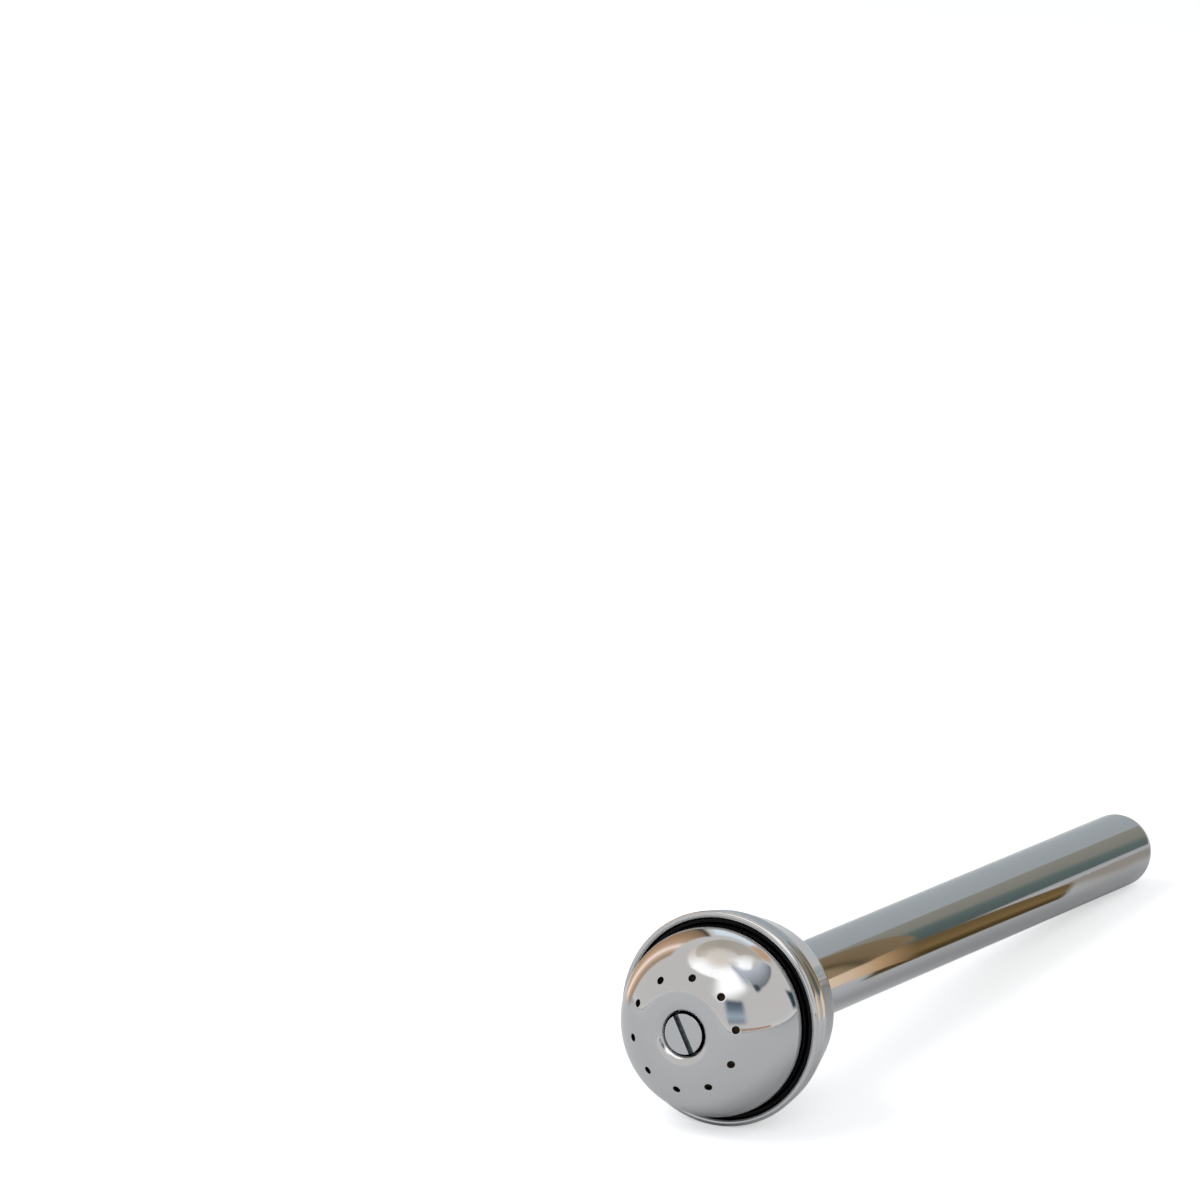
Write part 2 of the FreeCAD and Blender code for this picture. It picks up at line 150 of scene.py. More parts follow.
class SprinklerSizes(bpy.types.PropertyGroup):
    """Sizes of the sprinkler, the same as in its CAD model."""

    tube_radius: length("Tube radius", "Outer radius of the handle", 0.008)
    tube_wall: length("Tube wall", "Wall of the handle's tube", 0.001)
    handle_end: length("Handle end", "From the rose's widest circle to the handle's end", 0.200084)
    end_round: length("End round", "Radius of the handle end's rounded edge", 0.005)
    cap_land: length("Cap land", "Straight length of the cap outside the tube", 0.0006)
    cap_spigot: length("Cap spigot", "Length of the cap inside the tube", 0.006)
    bowl_radius: length("Bowl radius", "Outer radius of the cup's straight side", 0.0213)
    bowl_straight: length("Bowl straight", "From the rose's widest circle to the side's end", 0.00471)
    bowl_bend: length("Bowl bend", "Radius of the bend from the side into the taper", 0.008)
    bowl_taper: slant("Bowl taper", "Angle between the bowl's taper and its axis", 17.5)
    taper_length: length("Taper length", "Length of the bowl's taper", 0.0088)
    heel_radius: length("Heel radius", "Radius of the bowl's round heel in section", 0.012)
    cup_wall: length("Cup wall", "Wall of the cup", 0.001)
    lip_front: length("Lip front", "From the rose's widest circle to the lip's front", 0.0011)
    lip_width: length("Lip width", "Width of the cup's swelled lip", 0.0029)
    lip_swell: length("Lip swell", "How far the lip stands out from the bowl", 0.00045)
    collar_length: length("Collar length", "Length of the cup's collar inside the tube", 0.0058)
    rose_radius: length("Rose radius", "Outer radius of the rose's skirt", 0.0192)
    rose_wall: length("Rose wall", "Wall of the rose", 0.0009)
    rose_skirt: length("Rose skirt", "From the rose's widest circle to its rim", 0.003139)
    shoulder_radius: length("Shoulder radius", "Radius of the rose's shoulder in section", 0.0163)
    crest_radius: length("Crest radius", "Radius of the rose's crest in section", 0.005)
    crest_ring: length("Crest ring", "Radius of the ring that the crest follows", 0.0082)
    dish_radius: length("Dish radius", "Radius of the dish that holds the screw", 0.00425)
    dish_edge: length("Dish edge", "Rounding of the dish's edge", 0.0021)
    dish_depth: length("Dish depth", "Depth of the dish under the crest", 0.0031)
    hole_radius: length("Hole radius", "Radius of a spray hole", 0.0008)
    hole_ring: length("Hole ring", "Radius of the ring of spray holes", 0.0115)
    hole_count: IntProperty(name="Holes", description="Number of spray holes", default=10, min=3)
    hole_turn: slant("Hole turn", "Angle of the first hole above the row's X", 11.6)
    screw_head_radius: length("Screw head radius", "Radius of the screw's head", 0.0041)
    screw_head_height: length("Screw head height", "Height of the screw's head", 0.002)
    screw_radius: length("Screw radius", "Radius of the screw's shank", 0.0025)
    screw_length: length("Screw length", "Length of the screw under its head", 0.012)
    thread_pitch: length("Thread pitch", "Pitch of the screw's thread", 0.0008)
    slot_width: length("Slot width", "Width of the screw's slot", 0.0011)
    slot_depth: length("Slot depth", "Depth of the screw's slot", 0.0011)
    slot_turn: slant("Slot turn", "Angle of the screw's slot above the row's X", 117.7)
    washer_thick: length("Washer thickness", "Thickness of the washer", 0.0005)
    washer_radius: length("Washer radius", "Outer radius of the washer", 0.00395)
    post_radius: length("Post radius", "Radius of the post that holds the screw", 0.004)
    plug_radius: length("Plug radius", "Radius of the plug in the handle's mouth", 0.00592)
    flange_radius: length("Flange radius", "Radius of the post's flange", 0.00722)
    seal_radius: length("Seal radius", "Outer radius of the seal", 0.0202)
    seal_front: length("Seal front", "From the rose's widest circle to the seal's front", 0.0019)


class SprinklerColours(bpy.types.PropertyGroup):
    """Colours of the sprinkler's finishes."""

    steel: colour("Steel", "Polished stainless steel", "#c3c3c4")
    turned_steel: colour("Turned steel", "Stainless steel as the lathe leaves it", "#b4b4b5")
    rubber: colour("Rubber", "Black rubber", "#08090a")
    washer: colour("Washer", "Dark rubber of the washer", "#1d1e20")
    sponge: colour("Sponge", "Damp cellulose sponge", "#5c4c2e")
    sponge_pore_shade: colour("Sponge pore shade", "Painted shade down in the sponge's pores", "#2a2012")
    floor: colour("Floor", "Pale floor", "#f0f2f4")


def placed(x, y, along):
    """Local coordinates as points of the row frame: centre + x side + y down + along axis."""
    x, y, along = np.broadcast_arrays(x, y, along)
    centre = SCREW_FACE_MIDDLE + screw_face() * ALONG
    return centre + x[..., None] * SIDE + y[..., None] * DOWN + along[..., None] * ALONG


def spun(across, angle, along):
    """Points at a distance and an angle round the axis: (r cos a, r sin a, along)."""
    return placed(across * np.cos(angle), across * np.sin(angle), along)


def sizes():
    """The sizes of the scene."""
    return bpy.context.scene.sprinkler_sizes


def colours():
    """The colours of the scene."""
    return bpy.context.scene.sprinkler_colours


def crest_depth():
    """How far the crest's centre lies in front: its arc touches the shoulder from inside."""
    s = sizes()
    gap = s.shoulder_radius - s.crest_radius
    return math.sqrt(gap**2 - (s.crest_ring - s.rose_radius + s.shoulder_radius) ** 2)


def dish_floor():
    """Depth of the dish's floor in front of the widest circle."""
    return crest_depth() + sizes().crest_radius - sizes().dish_depth


def screw_seat():
    """Depth of the screw head's seat, on its washer."""
    return dish_floor() + sizes().washer_thick


def screw_face():
    """Depth of the screw head's face."""
    return screw_seat() + sizes().screw_head_height


def arc(centre, radius, start, stop, step=ARC_STEP):
    """Points on a circle: centre + radius (cos a, sin a), with a from start to stop degrees."""
    count = max(2, math.ceil(abs(stop - start) / step) + 1)
    angle = np.radians(np.linspace(start, stop, count))
    return np.column_stack([centre[0] + radius * np.cos(angle), centre[1] + radius * np.sin(angle)])


def straight(start, stop, count=2):
    """Points on a line, with one guard point near each end to keep its shading flat."""
    start, stop = np.array(start, float), np.array(stop, float)
    reach = np.linalg.norm(stop - start)
    near = min(SHADING_GUARD / reach, 0.3)
    share = np.concatenate([[0, near], np.linspace(0, 1, count)[1:-1], [1 - near, 1]])
    return start + share[:, None] * (stop - start)


def softened(corners, radius, closed=False):
    """A polygon's corners rounded: each corner gives way to an arc that touches both of its sides."""
    corners = [np.array(c, float) for c in corners]
    path = []
    for i, corner in enumerate(corners):
        if not closed and i in (0, len(corners) - 1):
            path.append(corner[None])
            continue
        before, after = corners[i - 1] - corner, corners[(i + 1) % len(corners)] - corner
        reach_before, reach_after = np.linalg.norm(before), np.linalg.norm(after)
        before, after = before / reach_before, after / reach_after
        half = math.acos(float(np.clip(before @ after, -1, 1))) / 2
        cut = min(radius / math.tan(half), reach_before * 0.45, reach_after * 0.45)
        round_radius = cut * math.tan(half)
        middle = before + after
        centre = corner + middle / np.linalg.norm(middle) * round_radius / math.sin(half)
        first, last = corner + before * cut - centre, corner + after * cut - centre
        start, stop = math.atan2(first[1], first[0]), math.atan2(last[1], last[0])
        turn = (stop - start + math.pi) % (2 * math.pi) - math.pi
        guard = min(SHADING_GUARD, cut * 0.5)
        path.append((corner + before * (cut + guard))[None])
        path.append(arc(centre, round_radius, math.degrees(start), math.degrees(start + turn), 15))
        path.append((corner + after * (cut + guard))[None])
    if closed:
        path.append(path[0])
    return np.concatenate(path)


def profile(*stretches):
    """Stretches of (across, along) joined into one, without the points that repeat."""
    path = np.concatenate(stretches)
    keep = np.concatenate([[True], np.linalg.norm(np.diff(path, axis=0), axis=1) > 1e-8])
    return path[keep]


def turned(path, angles=None):
    """Surface of revolution: (r cos a, r sin a, along) for each profile point and each angle a."""
    if angles is None:
        angles = np.linspace(0, 2 * math.pi, TURN_STEPS + 1)
    return spun(path[:, :1], angles, path[:, 1:])


def threaded(start, stop, radius, depth, angles, fade, pitch_steps=14):
    """A screw thread: r = radius - depth * tooth(along / pitch - a / turn), a right-hand helix.

    tooth rises and falls in a straight line between crest and root, and fades out at both ends.
    """
    pitch = sizes().thread_pitch
    rows = max(2, math.ceil(abs(stop - start) / pitch * pitch_steps))
    along = np.linspace(start, stop, rows)[:, None]
    phase = (along / pitch - angles[None, :] / (2 * math.pi)) % 1
    tooth = np.clip(np.abs(phase - 0.5) * 2.6 - 0.15, 0, 1)
    ends = np.clip(np.minimum(np.abs(along - start), np.abs(along - stop)) / fade, 0, 1)
    return spun(radius - depth * tooth * ends, angles, along)


def grid_faces(grid):
    """Numbers of the four points of each face between a grid's neighbouring points."""
    index = np.arange(grid.shape[0] * grid.shape[1]).reshape(grid.shape[:2])
    corners = [index[:-1, :-1], index[:-1, 1:], index[1:, 1:], index[1:, :-1]]
    return np.stack(corners, axis=-1).reshape(-1, 4)


def make_piece(name, body, material, grids, node):
    """One closed mesh object out of grids of points, each (rows, columns, 3).

    Neighbouring points of a grid are its faces' corners. Points that coincide are merged, which
    closes seams and poles, and the faces are turned outwards if the volume comes out negative.
    """
    points, faces, start = [], [], 0
    for grid in grids:
        faces.append(grid_faces(grid) + start)
        points.append(grid.reshape(-1, 3))
        start += len(points[-1])
    points, faces = np.concatenate(points), np.concatenate(faces)
    a, b, c, d = (points[faces[:, i]] - points.mean(axis=0) for i in range(4))
    volume = (np.cross(a, b) * c).sum() + (np.cross(a, c) * d).sum()
    if volume < 0:
        faces = faces[:, ::-1]
    mesh = bpy.data.meshes.new(name)
    mesh.from_pydata(points.tolist(), [], faces.tolist())
    work = bmesh.new()
    work.from_mesh(mesh)
    bmesh.ops.remove_doubles(work, verts=work.verts, dist=MERGE_DISTANCE)
    bmesh.ops.dissolve_degenerate(work, edges=work.edges, dist=MERGE_DISTANCE / 4)
    work.to_mesh(mesh)
    work.free()
    mesh.shade_smooth()
    mesh.set_sharp_from_angle(angle=SHARP_ANGLE)
    mesh.materials.append(material)
    piece = bpy.data.objects.new(name, mesh)
    bpy.context.scene.collection.objects.link(piece)
    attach(piece, body)
    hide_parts(node)
    return piece


def add(tree, kind, links=None, **settings):
    """Adds a node with its settings, and links each named input to an output or sets its value."""
    node = tree.nodes.new(kind)
    for key, value in settings.items():
        setattr(node, key, value)
    for key, value in (links or {}).items():
        socket = node.inputs[key]
        if isinstance(value, bpy.types.NodeSocket):
            tree.links.new(value, socket)
        else:
            socket.default_value = value
    return node


def new_material(name):
    """An empty node material with its output, and its tree."""
    material = bpy.data.materials.new(name)
    material.use_nodes = True
    material.node_tree.nodes.clear()
    return material, material.node_tree


def finish_material(tree, shader):
    """Links the shader to the material's output."""
    add(tree, "ShaderNodeOutputMaterial", {"Surface": shader.outputs[0]})


def finish_surface(tree, links):
    """Ends the material with a Principled shader that has these inputs."""
    finish_material(tree, add(tree, "ShaderNodeBsdfPrincipled", links))


def coordinates(tree, kind="Object"):
    """The surface's coordinates: its object's own, or its UV."""
    return add(tree, "ShaderNodeTexCoord").outputs[kind]


def axis_coordinates(tree):
    """Object coordinates turned so that Y runs along the sprinkler's own axis."""
    links = {"Vector": coordinates(tree), "Rotation": (SPRINKLER_TILT, 0, 0)}
    return add(tree, "ShaderNodeMapping", links).outputs[0]


def noise(tree, place, millimetres, stretch=(1, 1, 1), detail=2.0):
    """Noise whose grains are that many millimetres across, longer by stretch along each axis."""
    scale = tuple(MM_PER_M / millimetres / s for s in stretch)
    fitted = add(tree, "ShaderNodeMapping", {"Vector": place, "Scale": scale}).outputs[0]
    links = {"Vector": fitted, "Scale": 1.0, "Detail": detail}
    return add(tree, "ShaderNodeTexNoise", links).outputs["Fac"]


def ramp(tree, factor, stops):
    """Maps a factor through (position, value) pairs, where a value is a number or a colour."""
    node = add(tree, "ShaderNodeValToRGB", {"Fac": factor})
    elements = node.color_ramp.elements
    while len(elements) < len(stops):
        elements.new(0.5)
    for element, (position, value) in zip(elements, stops):
        element.position = position
        element.color = (*value, 1) if isinstance(value, tuple) else (value, value, value, 1)
    return node.outputs["Color"]


def maths(tree, operation, *values):
    """The output of a math operation on numbers or outputs."""
    return add(tree, "ShaderNodeMath", dict(enumerate(values)), operation=operation).outputs[0]


def blend(tree, share, first, second):
    """A colour that goes from the first to the second as the share goes from 0 to 1."""
    links = {0: share, 6: (*first, 1), 7: (*second, 1)}
    return add(tree, "ShaderNodeMix", links, data_type="RGBA").outputs[2]


def bumped(tree, height, strength, millimetres):
    """A normal that follows the height, which is that many millimetres deep."""
    links = {"Height": height, "Strength": strength, "Distance": millimetres / MM_PER_M}
    return add(tree, "ShaderNodeBump", links).outputs[0]


def polished_steel(name, roughness):
    """Stainless steel, ground and buffed to a mirror.

    The buffing wheel leaves hair-thin lines round the axis and along it, too faint to see one by
    one, that soften every reflection a little. Handling leaves cloudy patches of duller shine.
    """
    material, tree = new_material(name)
    place = axis_coordinates(tree)
    clouds = noise(tree, place, 14, detail=4)
    rings = noise(tree, place, 0.9, stretch=(14, 0.35, 14), detail=3)
    lines = noise(tree, place, 0.8, stretch=(0.5, 40, 0.5), detail=3)
    shine = ramp(tree, clouds, [(0.35, roughness[0]), (0.7, roughness[1])])
    streaks = maths(tree, "MULTIPLY", rings, lines)
    handled = [c * 0.93 for c in colours().steel]
    links = {
        "Base Color": blend(tree, clouds, colours().steel, handled),
        "Metallic": 1.0,
        "Roughness": maths(tree, "MULTIPLY_ADD", streaks, 0.06, shine),
        "Normal": bumped(tree, streaks, strength=0.05, millimetres=0.02),
    }
    finish_surface(tree, links)
    return material


def lathe_turned_steel(name):
    """Stainless steel as it comes off the lathe: satin, with fine tool rings round its axis."""
    material, tree = new_material(name)
    place = axis_coordinates(tree)
    rings = noise(tree, place, 0.22, stretch=(60, 1, 60), detail=2)
    blotches = noise(tree, place, 3, detail=3)
    stained = [c * 0.8 for c in colours().turned_steel]
    links = {
        "Base Color": blend(tree, blotches, colours().turned_steel, stained),
        "Metallic": 1.0,
        "Roughness": ramp(tree, rings, [(0.3, 0.22), (0.7, 0.36)]),
        "Normal": bumped(tree, rings, strength=0.5, millimetres=0.02),
    }
    finish_surface(tree, links)
    return material


def shaded_slot(name):
    """The sawn slot: steel left rough by the saw, in a darker blotchy colour that is painted shade in
    the recess.
    """
    material, tree = new_material(name)
    place = coordinates(tree)
    blotches = noise(tree, place, 0.7, detail=4)
    grit = noise(tree, place, 0.12, detail=2)
    links = {
        # Painted shade: the slot's steel is darker than the head's, standing in for the shade down in
        # the recess
        "Base Color": ramp(tree, blotches, [(0.35, linear("#646b6f")), (0.7, linear("#8b9296"))]),
        "Metallic": 1.0,
        "Roughness": 0.42,
        "Normal": bumped(tree, grit, strength=0.4, millimetres=0.03),
    }
    finish_surface(tree, links)
    return material


def moulded_rubber(name, base):
    """Moulded rubber: near black, with a low dull sheen and a fine pitted skin that holds dust."""
    material, tree = new_material(name)
    place = coordinates(tree)
    pits = noise(tree, place, 0.25, detail=3)
    dust = noise(tree, place, 2.5, detail=5)
    dusted = ramp(tree, dust, [(0.6, 0.0), (0.9, 0.12)])
    links = {
        "Base Color": blend(tree, dusted, base, linear("#3a3a3c")),
        "Roughness": ramp(tree, pits, [(0.3, 0.48), (0.7, 0.66)]),
        "IOR": 1.52,
        "Specular IOR Level": 0.12,
        "Normal": bumped(tree, pits, strength=0.3, millimetres=0.05),
    }
    finish_surface(tree, links)
    return material


def cellulose_sponge(name):
    """Damp cellulose sponge: matt and brown, with patches of uneven tone, and painted shade that darkens
    it down in its pores.
    """
    material, tree = new_material(name)
    place = coordinates(tree)
    links = {"Vector": place, "Scale": MM_PER_M / 1.1}
    pores = add(tree, "ShaderNodeTexVoronoi", links, feature="SMOOTH_F1").outputs["Distance"]
    patches = noise(tree, place, 4, detail=4)
    # Painted shade: the colour darkens towards the middle of each pore; the patches add uneven tone
    depth = ramp(tree, pores, [(0.15, 1.0), (0.55, 0.0)])
    uneven = maths(tree, "MULTIPLY_ADD", depth, 0.75, patches)
    share = ramp(tree, uneven, [(0.35, 0.0), (1.1, 1.0)])
    links = {
        "Base Color": blend(tree, share, colours().sponge, colours().sponge_pore_shade),
        "Roughness": 0.85,
        "Subsurface Weight": 0.15,
        "Subsurface Scale": 0.001,
        "Normal": bumped(tree, pores, strength=0.8, millimetres=0.4),
    }
    finish_surface(tree, links)
    return material


def bend_ring():
    """Radius of the ring that the bowl's bend is centred on."""
    return sizes().bowl_radius - sizes().bowl_bend


def heel():
    """Centre (across, along) of the heel's arc: both arcs touch the taper between them."""
    s = sizes()
    turn, gap = s.bowl_taper, s.bowl_bend - s.heel_radius
    ring = bend_ring() + gap * math.cos(turn) - s.taper_length * math.sin(turn)
    return ring, s.bowl_straight + gap * math.sin(turn) + s.taper_length * math.cos(turn)


def on_heel(radius, across):
    """Where an arc about the heel's centre is met at that distance from the axis."""
    ring, place = heel()
    return place + math.sqrt(radius**2 - (across - ring) ** 2)


def bowl_side(inset, across, start=0.0):
    """The bowl's section, set inwards: bend, taper and heel, as far as that distance across."""
    s = sizes()
    taper = math.degrees(s.bowl_taper)
    end = math.degrees(math.acos((across - heel()[0]) / (s.heel_radius - inset)))
    bend = arc((bend_ring(), s.bowl_straight), s.bowl_bend - inset, start, taper, 1.5)
    back = arc(heel(), s.heel_radius - inset, taper, end, 1.5)
    return profile(bend, straight(bend[-1], back[0], 8), back)


class SPRINKLER_OT_handle(bpy.types.Operator):
    """Make the tube handle and the cap in its free end"""

    bl_idname = "sprinkler.handle"
    bl_label = "Handle"

    def execute(self, context):
        s = sizes()
        steel = polished_steel("polished stainless handle", roughness=(0.05, 0.09))
        seam = s.handle_end - s.end_round - s.cap_land
        bore = s.tube_radius - s.tube_wall
        seat = s.heel_radius + BRAZING_GAP
        mouth = [(bore, on_heel(seat, bore)), (s.tube_radius, on_heel(seat, s.tube_radius))]
        tube = profile(
            straight(mouth[1], (s.tube_radius, seam), 12),
            straight((s.tube_radius, seam), (bore, seam)),
            straight((bore, seam), mouth[0], 12),
            straight(mouth[0], mouth[1]),
        )
        make_piece("handle_tube_polished", "handle", steel, [turned(tube)], "handle_tube")
        spigot = bore - BRAZING_GAP
        back = seam - s.cap_spigot
        cap = profile(
            straight((0, back), (spigot, back)),
            straight((spigot, back), (spigot, seam)),
            straight((spigot, seam), (s.tube_radius, seam)),
            straight((s.tube_radius, seam), (s.tube_radius, s.handle_end - s.end_round)),
            arc((s.tube_radius - s.end_round, s.handle_end - s.end_round), s.end_round, 0, 90),
            straight((s.tube_radius - s.end_round, s.handle_end), (0, s.handle_end), 4),
        )
        make_piece(
            "handle_end_cap_polished",
            "handle",
            steel,
            [turned(cap)],
            "handle_end_cap",
        )
        return {"FINISHED"}


class SPRINKLER_OT_cup(bpy.types.Operator):
    """Make the cup: swelled lip, round bowl and collar"""

    bl_idname = "sprinkler.cup"
    bl_label = "Cup"

    def execute(self, context):
        s = sizes()
        nose = (s.lip_swell + s.cup_wall) / 2
        lip_radius, lip_place = s.bowl_radius + s.lip_swell, s.lip_front + nose
        lip_back = s.lip_front + s.lip_width
        bowl_bore = s.bowl_radius - s.cup_wall
        collar = s.tube_radius - s.tube_wall - BRAZING_GAP
        collar_bore = collar - s.cup_wall
        collar_start = on_heel(s.heel_radius, collar)
        collar_end = collar_start + s.collar_length
        collar_inside = on_heel(s.heel_radius - s.cup_wall, collar_bore)
        # The swelled band behind the nose bulges on a radius of twice its width
        swell = s.lip_width * 2
        chord = np.array([s.bowl_radius - lip_radius, lip_back - lip_place])
        middle = np.array([lip_radius, lip_place]) + chord / 2
        inward = np.array([-chord[1], chord[0]]) / np.linalg.norm(chord)
        swell_centre = middle + inward * math.sqrt(swell**2 - chord @ chord / 4)
        first = math.degrees(math.atan2(lip_place - swell_centre[1], lip_radius - swell_centre[0]))
        last = math.degrees(math.atan2(lip_back - swell_centre[1], s.bowl_radius - swell_centre[0]))
        path = profile(
            arc((lip_radius - nose, lip_place), nose, -180, 0, 6),
            arc(swell_centre, swell, first, last),
            straight((s.bowl_radius, lip_back), (s.bowl_radius, s.bowl_straight)),
            bowl_side(0, collar),
            straight((collar, collar_start), (collar, collar_end)),
            straight((collar, collar_end), (collar_bore, collar_end)),
            straight((collar_bore, collar_end), (collar_bore, collar_inside)),
            bowl_side(s.cup_wall, collar_bore)[::-1],
            straight((bowl_bore, s.bowl_straight), (bowl_bore, lip_place)),
        )
        steel = polished_steel("polished stainless cup", roughness=(0.045, 0.08))
        make_piece("cup_polished", "handle", steel, [turned(path)], "cup")
        return {"FINISHED"}


def flange_back():
    """Where the back of the post's flange lies against the bowl's heel."""
    s = sizes()
    return on_heel(s.heel_radius - s.cup_wall - BRAZING_GAP, s.flange_radius)


class SPRINKLER_OT_post(bpy.types.Operator):
    """Make the post, with its plug, flange and tapped hole"""

    bl_idname = "sprinkler.post"
    bl_label = "Centre post"

    def execute(self, context):
        s = sizes()
        front = -(dish_floor() - s.rose_wall - FACE_GAP)
        flange_front = flange_back() - FLANGE_THICK
        back = flange_back() + PLUG_LENGTH
        tap = s.screw_radius + FACE_GAP
        tap_end = s.screw_length - screw_seat() + TAP_SPARE
        outside = softened(
            [
                (tap, front),
                (s.post_radius, front),
                (s.post_radius, flange_front),
                (s.flange_radius, flange_front),
                (s.flange_radius, flange_back()),
                (s.plug_radius, flange_back()),
                (s.plug_radius, back),
                (0, back),
            ],
            TURNED_EDGE,
        )
        angles = np.linspace(0, 2 * math.pi, 97)
        # The tapped hole's thread has its roots outside the tap radius, so its depth is negative
        thread = threaded(front, tap_end, tap, -TAP_THREAD_DEPTH, angles, s.thread_pitch / 2)
        bottom = turned(profile(straight((tap, tap_end), (0, tap_end + tap / 2))), angles)
        make_piece(
            "centre_post_turned",
            "handle",
            lathe_turned_steel("lathe-turned stainless"),
            [turned(outside, angles)[::-1], thread, bottom],
            "centre_post",
        )
        return {"FINISHED"}


def seal_back():
    """Where the seal's outside meets the bowl's bend."""
    s = sizes()
    bend = s.bowl_bend - s.cup_wall
    return s.bowl_straight + math.sqrt(bend**2 - (s.seal_radius - bend_ring()) ** 2)


class SPRINKLER_OT_seal(bpy.types.Operator):
    """Make the rubber seal between the rose and the cup's lip"""

    bl_idname = "sprinkler.seal"
    bl_label = "Seal ring"

    def execute(self, context):
        s = sizes()
        wall = s.rose_radius + SKIRT_GAP
        back = seal_back()
        bore = s.rose_radius - s.rose_wall - SEAL_LAP
        seat = s.rose_skirt + FACE_GAP
        path = softened(
            [
                (wall, s.seal_front),
                (s.seal_radius, s.seal_front),
                (s.seal_radius, back),
                (bore, back),
                (bore, seat),
                (wall, seat),
            ],
            TURNED_EDGE,
            closed=True,
        )
        rubber = moulded_rubber("moulded black rubber", colours().rubber)
        make_piece("seal_ring_rubber", "handle", rubber, [turned(path)], "seal_ring")
        return {"FINISHED"}


def cell_distance(points, cell, seed):
    """Distance to the nearest of one random point per cubic cell, in cells (Worley noise)."""
    scaled = points / cell
    home = np.floor(scaled).astype(np.int64)
    nearest = np.full(len(points), 9.0)
    for offset in np.ndindex(3, 3, 3):
        corner = home + np.array(offset) - 1
        mixed = corner @ np.array([73856093, 19349663, 83492791]) + seed * 2654435761
        random = [np.sin(mixed * k + k) * 43758.5453 % 1 for k in (0.1271, 0.3117, 0.7419)]
        apart = corner + np.stack(random, axis=1) - scaled
        nearest = np.minimum(nearest, np.linalg.norm(apart, axis=1))
    return nearest


class SPRINKLER_OT_sponge(bpy.types.Operator):
    """Make the sponge that fills the head round the post"""

    bl_idname = "sprinkler.sponge"
    bl_label = "Sponge"

    def execute(self, context):
        s = sizes()
        gap = SPONGE_GAP
        bore = s.post_radius + gap
        mouth = s.dish_radius + s.rose_wall + gap
        step = gap - (dish_floor() - s.rose_wall)
        front = gap - crest_depth() - s.crest_radius + s.dish_edge
        dome = s.shoulder_radius - s.rose_wall - gap
        waist = s.rose_radius - s.rose_wall - SEAL_LAP - gap
        waist_back = seal_back() + gap
        back = flange_back() - FLANGE_THICK - gap
        inset = s.cup_wall + gap
        reach = heel()[0] + math.sqrt((s.heel_radius - inset) ** 2 - (back - heel()[1]) ** 2)
        bend_first = math.degrees(math.asin((waist_back - s.bowl_straight) / (s.bowl_bend - inset)))
        dome_first = math.degrees(math.asin(front / dome))
        dome_last = -math.degrees(math.acos((waist - dome_axis()) / dome))
        corners = [
            (bore, back),
            (bore, step),
            (mouth, step),
            (mouth, front),
            *arc((dome_axis(), 0), dome, dome_first, dome_last, 8),
            (waist, waist_back),
            *bowl_side(inset, reach, bend_first)[::6],
            (reach, back),
        ]
        rounded = softened(corners, SPONGE_EDGE, closed=True)
        # Evenly spaced points along the outline, close enough to carry the pores
        run = np.concatenate([[0], np.cumsum(np.linalg.norm(np.diff(rounded, axis=0), axis=1))])
        even = np.linspace(0, run[-1], SPONGE_STEPS)
        path = np.column_stack([np.interp(even, run, rounded[:, i]) for i in range(2)])
        angles = np.linspace(0, 2 * math.pi, SPONGE_TURN_STEPS + 1)
        grid = turned(path, angles)
        # The pores are pressed into the surface, along the outline's inward normal
        way = np.gradient(path, axis=0)
        inward = np.column_stack([-way[:, 1], way[:, 0]])
        inward /= np.linalg.norm(inward, axis=1)[:, None]
        middle = path.mean(axis=0)
        inward *= np.sign(((middle - path) * inward).sum(axis=1).mean())
        points = grid[:, :-1].reshape(-1, 3)
        big = np.clip(1 - cell_distance(points, BIG_PORE, 3) / 0.5, 0, 1) ** 1.5
        small = np.clip(1 - cell_distance(points, SMALL_PORE, 7) / 0.55, 0, 1)
        depth = (BIG_PORE_DEPTH * big + SMALL_PORE_DEPTH * small).reshape(len(path), -1)
        depth = np.concatenate([depth, depth[:, :1]], axis=1)
        across = path[:, :1] + depth * inward[:, :1]
        along = path[:, 1:] + depth * inward[:, 1:]
        grid = spun(across, angles, along)
        cellulose = cellulose_sponge("cellulose sponge")
        piece = make_piece("sponge_porous", "handle", cellulose, [grid], "sponge")
        piece.data.set_sharp_from_angle(angle=math.pi)
        return {"FINISHED"}


def dome_axis():
    """Radius of the ring that the rose's shoulder is centred on."""
    return sizes().rose_radius - sizes().shoulder_radius


def shoulder_leans():
    """Angles on the shoulder, from the widest circle, of the hole ring and the crest's start."""
    s = sizes()
    hole = math.acos((s.hole_ring - dome_axis()) / s.shoulder_radius)
    return hole, math.atan2(crest_depth(), s.crest_ring - dome_axis())


def dome_section(run):
    """Place and outward normal in section at a run from the hole ring, positive towards the rim.

    The shoulder is an arc of the shoulder radius; past its end towards the crest the section
    goes on as an arc of the crest radius, which it touches there.
    """
    s = sizes()
    hole_lean, join = shoulder_leans()
    on_shoulder = hole_lean - run / s.shoulder_radius
    past = -run - (join - hole_lean) * s.shoulder_radius
    lean = np.where(past > 0, join + past / s.crest_radius, on_shoulder)
    radius = np.where(past > 0, s.crest_radius, s.shoulder_radius)
    across = np.where(past > 0, s.crest_ring, dome_axis()) + radius * np.cos(lean)
    along = np.where(past > 0, -crest_depth(), 0) - radius * np.sin(lean)
    return across, along, np.cos(lean), -np.sin(lean)


